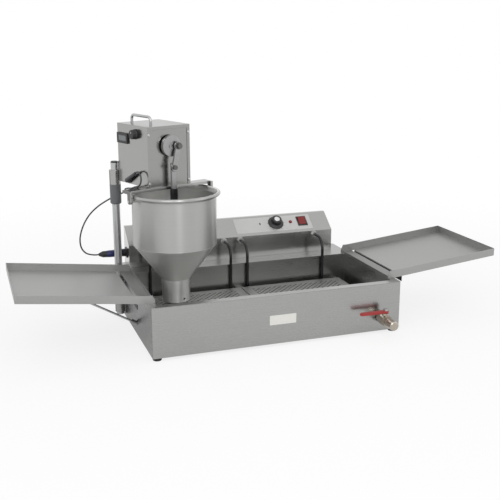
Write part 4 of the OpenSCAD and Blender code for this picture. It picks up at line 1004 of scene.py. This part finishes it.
class FRYER_OT_speed_knob(bpy.types.Operator):
    """Turns the speed knob with its fine knurl and pointer line"""

    bl_idname = "fryer.speed_knob"
    bl_label = "Speed knob"

    def execute(self, context):
        flutes = context.scene.fryer_sizes.speed_flutes
        place = on_head_side(*SPEED_KNOB)
        grip = turned("speed_grip", SPEED_GRIP, 4 * flutes, Matrix())
        fluted(grip, flutes, **SPEED_FLUTES)
        grip.data.transform(place)
        settle(grip, "phenolic_black", SHARP_GRIP)
        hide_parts("speed_knob")
        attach(grip, "speed_dial")
        out, up = SPEED_POINTER_AT
        face = Matrix.Translation((out * MM, 0, up * MM))
        line = plate("speed_pointer", *SPEED_POINTER, place @ face)
        settle(line, "ink_white")
        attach(line, "speed_dial")
        return {"FINISHED"}


class FRYER_OT_plates(bpy.types.Operator):
    """Fits the panel's pale fascia with its dial marks, and the blank plate on the front"""

    bl_idname = "fryer.plates"
    bl_label = "Fascia and plates"

    def execute(self, context):
        length = context.scene.fryer_sizes.fascia_length / MM
        fascia = plate("panel_fascia", length, FASCIA_HIGH, FASCIA_THICK, FASCIA_CORNER,
                       on_panel(FASCIA_LEFT + length / 2, FASCIA_UP))
        settle(fascia, "aluminium_anodised")
        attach(fascia, "fryer_base")
        scale = joined(self.marks(FASCIA_THICK), "dial_marks")
        settle(scale, "ink_dark")
        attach(scale, "fryer_base")
        middle = Matrix.Translation(in_tank(BLANK_PLACE[0], 0.0, BLANK_PLACE[1]))
        front = middle @ Matrix.Rotation(math.pi / 2, 4, "X")
        blank_plate = plate("front_plate", *BLANK_SIZE, BLANK_THICK, BLANK_CORNER, front)
        settle(blank_plate, "polyester_plate")
        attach(blank_plate, "fryer_base")
        return {"FINISHED"}

    def marks(self, out):
        """Ticks round the dial, some of them wide, and one plain mark beside it."""
        marks = []
        for k in range(TICKS):
            turn = Matrix.Rotation(math.radians(TICK_FIRST + TICK_STEP * k), 4, "Z")
            place = on_panel(DIAL_X, DIAL_UP, out) @ turn @ Matrix.Translation((0, TICK_REACH * MM, 0))
            wide = TICK_THIN if k % TICK_WIDE_EVERY else TICK_WIDE
            marks.append(plate("mark", wide, TICK_LONG, INK_THICK, 0.0, place))
        marks.append(plate("mark", *MARK_SIZE, INK_THICK, MARK_CORNER, on_panel(*MARK_PLACE, out)))
        return marks


class FRYER_OT_hopper_welds(bpy.types.Operator):
    """Lays the ground weld beads at the hopper's two seams"""

    bl_idname = "fryer.hopper_welds"
    bl_label = "Hopper welds"

    def execute(self, context):
        low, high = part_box("nozzle_tube")
        axis = Matrix.Translation(((low.x + high.x) / 2, (low.y + high.y) / 2, CORNER.z))
        seams = (CONE_SEAM, NOZZLE_SEAM)
        beads = [turned("bead", self.ring(*seam), BEAD_STEPS, axis) for seam in seams]
        welds = joined(beads, "hopper_welds")
        settle(welds, "hopper_stainless_spun", SHARP_ROUND)
        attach(welds, "depositor_head")
        return {"FINISHED"}

    def ring(self, radius, height):
        """Closed section of a flat bead, sunk a little into the wall."""
        turns = [math.pi * k / 4 for k in range(8)]
        ring = [(radius - BEAD_SINK + BEAD[0] * math.cos(a), height + BEAD[1] * math.sin(a)) for a in turns]
        return ring + [ring[0]]


class FRYER_PT_panel(bpy.types.Panel):
    """Lists the fryer's steps in the sidebar"""

    bl_idname = "FRYER_PT_panel"
    bl_label = "Donut fryer"
    bl_space_type = "VIEW_3D"
    bl_region_type = "UI"
    bl_category = "Fryer"

    def draw(self, context):
        for step in STEPS:
            self.layout.operator(step.bl_idname)


STEPS = (
    FRYER_OT_stage,
    FRYER_OT_materials,
    FRYER_OT_lead,
    FRYER_OT_finishes,
    FRYER_OT_folded_edges,
    FRYER_OT_screens,
    FRYER_OT_thermostat_knob,
    FRYER_OT_speed_knob,
    FRYER_OT_plates,
    FRYER_OT_hopper_welds,
)
CLASSES = (FryerSizes, FryerColours) + STEPS + (FRYER_PT_panel,)


def register():
    for cls in CLASSES:
        bpy.utils.register_class(cls)
    bpy.types.Scene.fryer_sizes = bpy.props.PointerProperty(type=FryerSizes)
    bpy.types.Scene.fryer_colours = bpy.props.PointerProperty(type=FryerColours)


def unregister():
    del bpy.types.Scene.fryer_colours
    del bpy.types.Scene.fryer_sizes
    for cls in reversed(CLASSES):
        bpy.utils.unregister_class(cls)


def main():
    register()
    for step in STEPS:
        group, name = step.bl_idname.split(".")
        getattr(getattr(bpy.ops, group), name)()


if __name__ == "__main__":
    main()
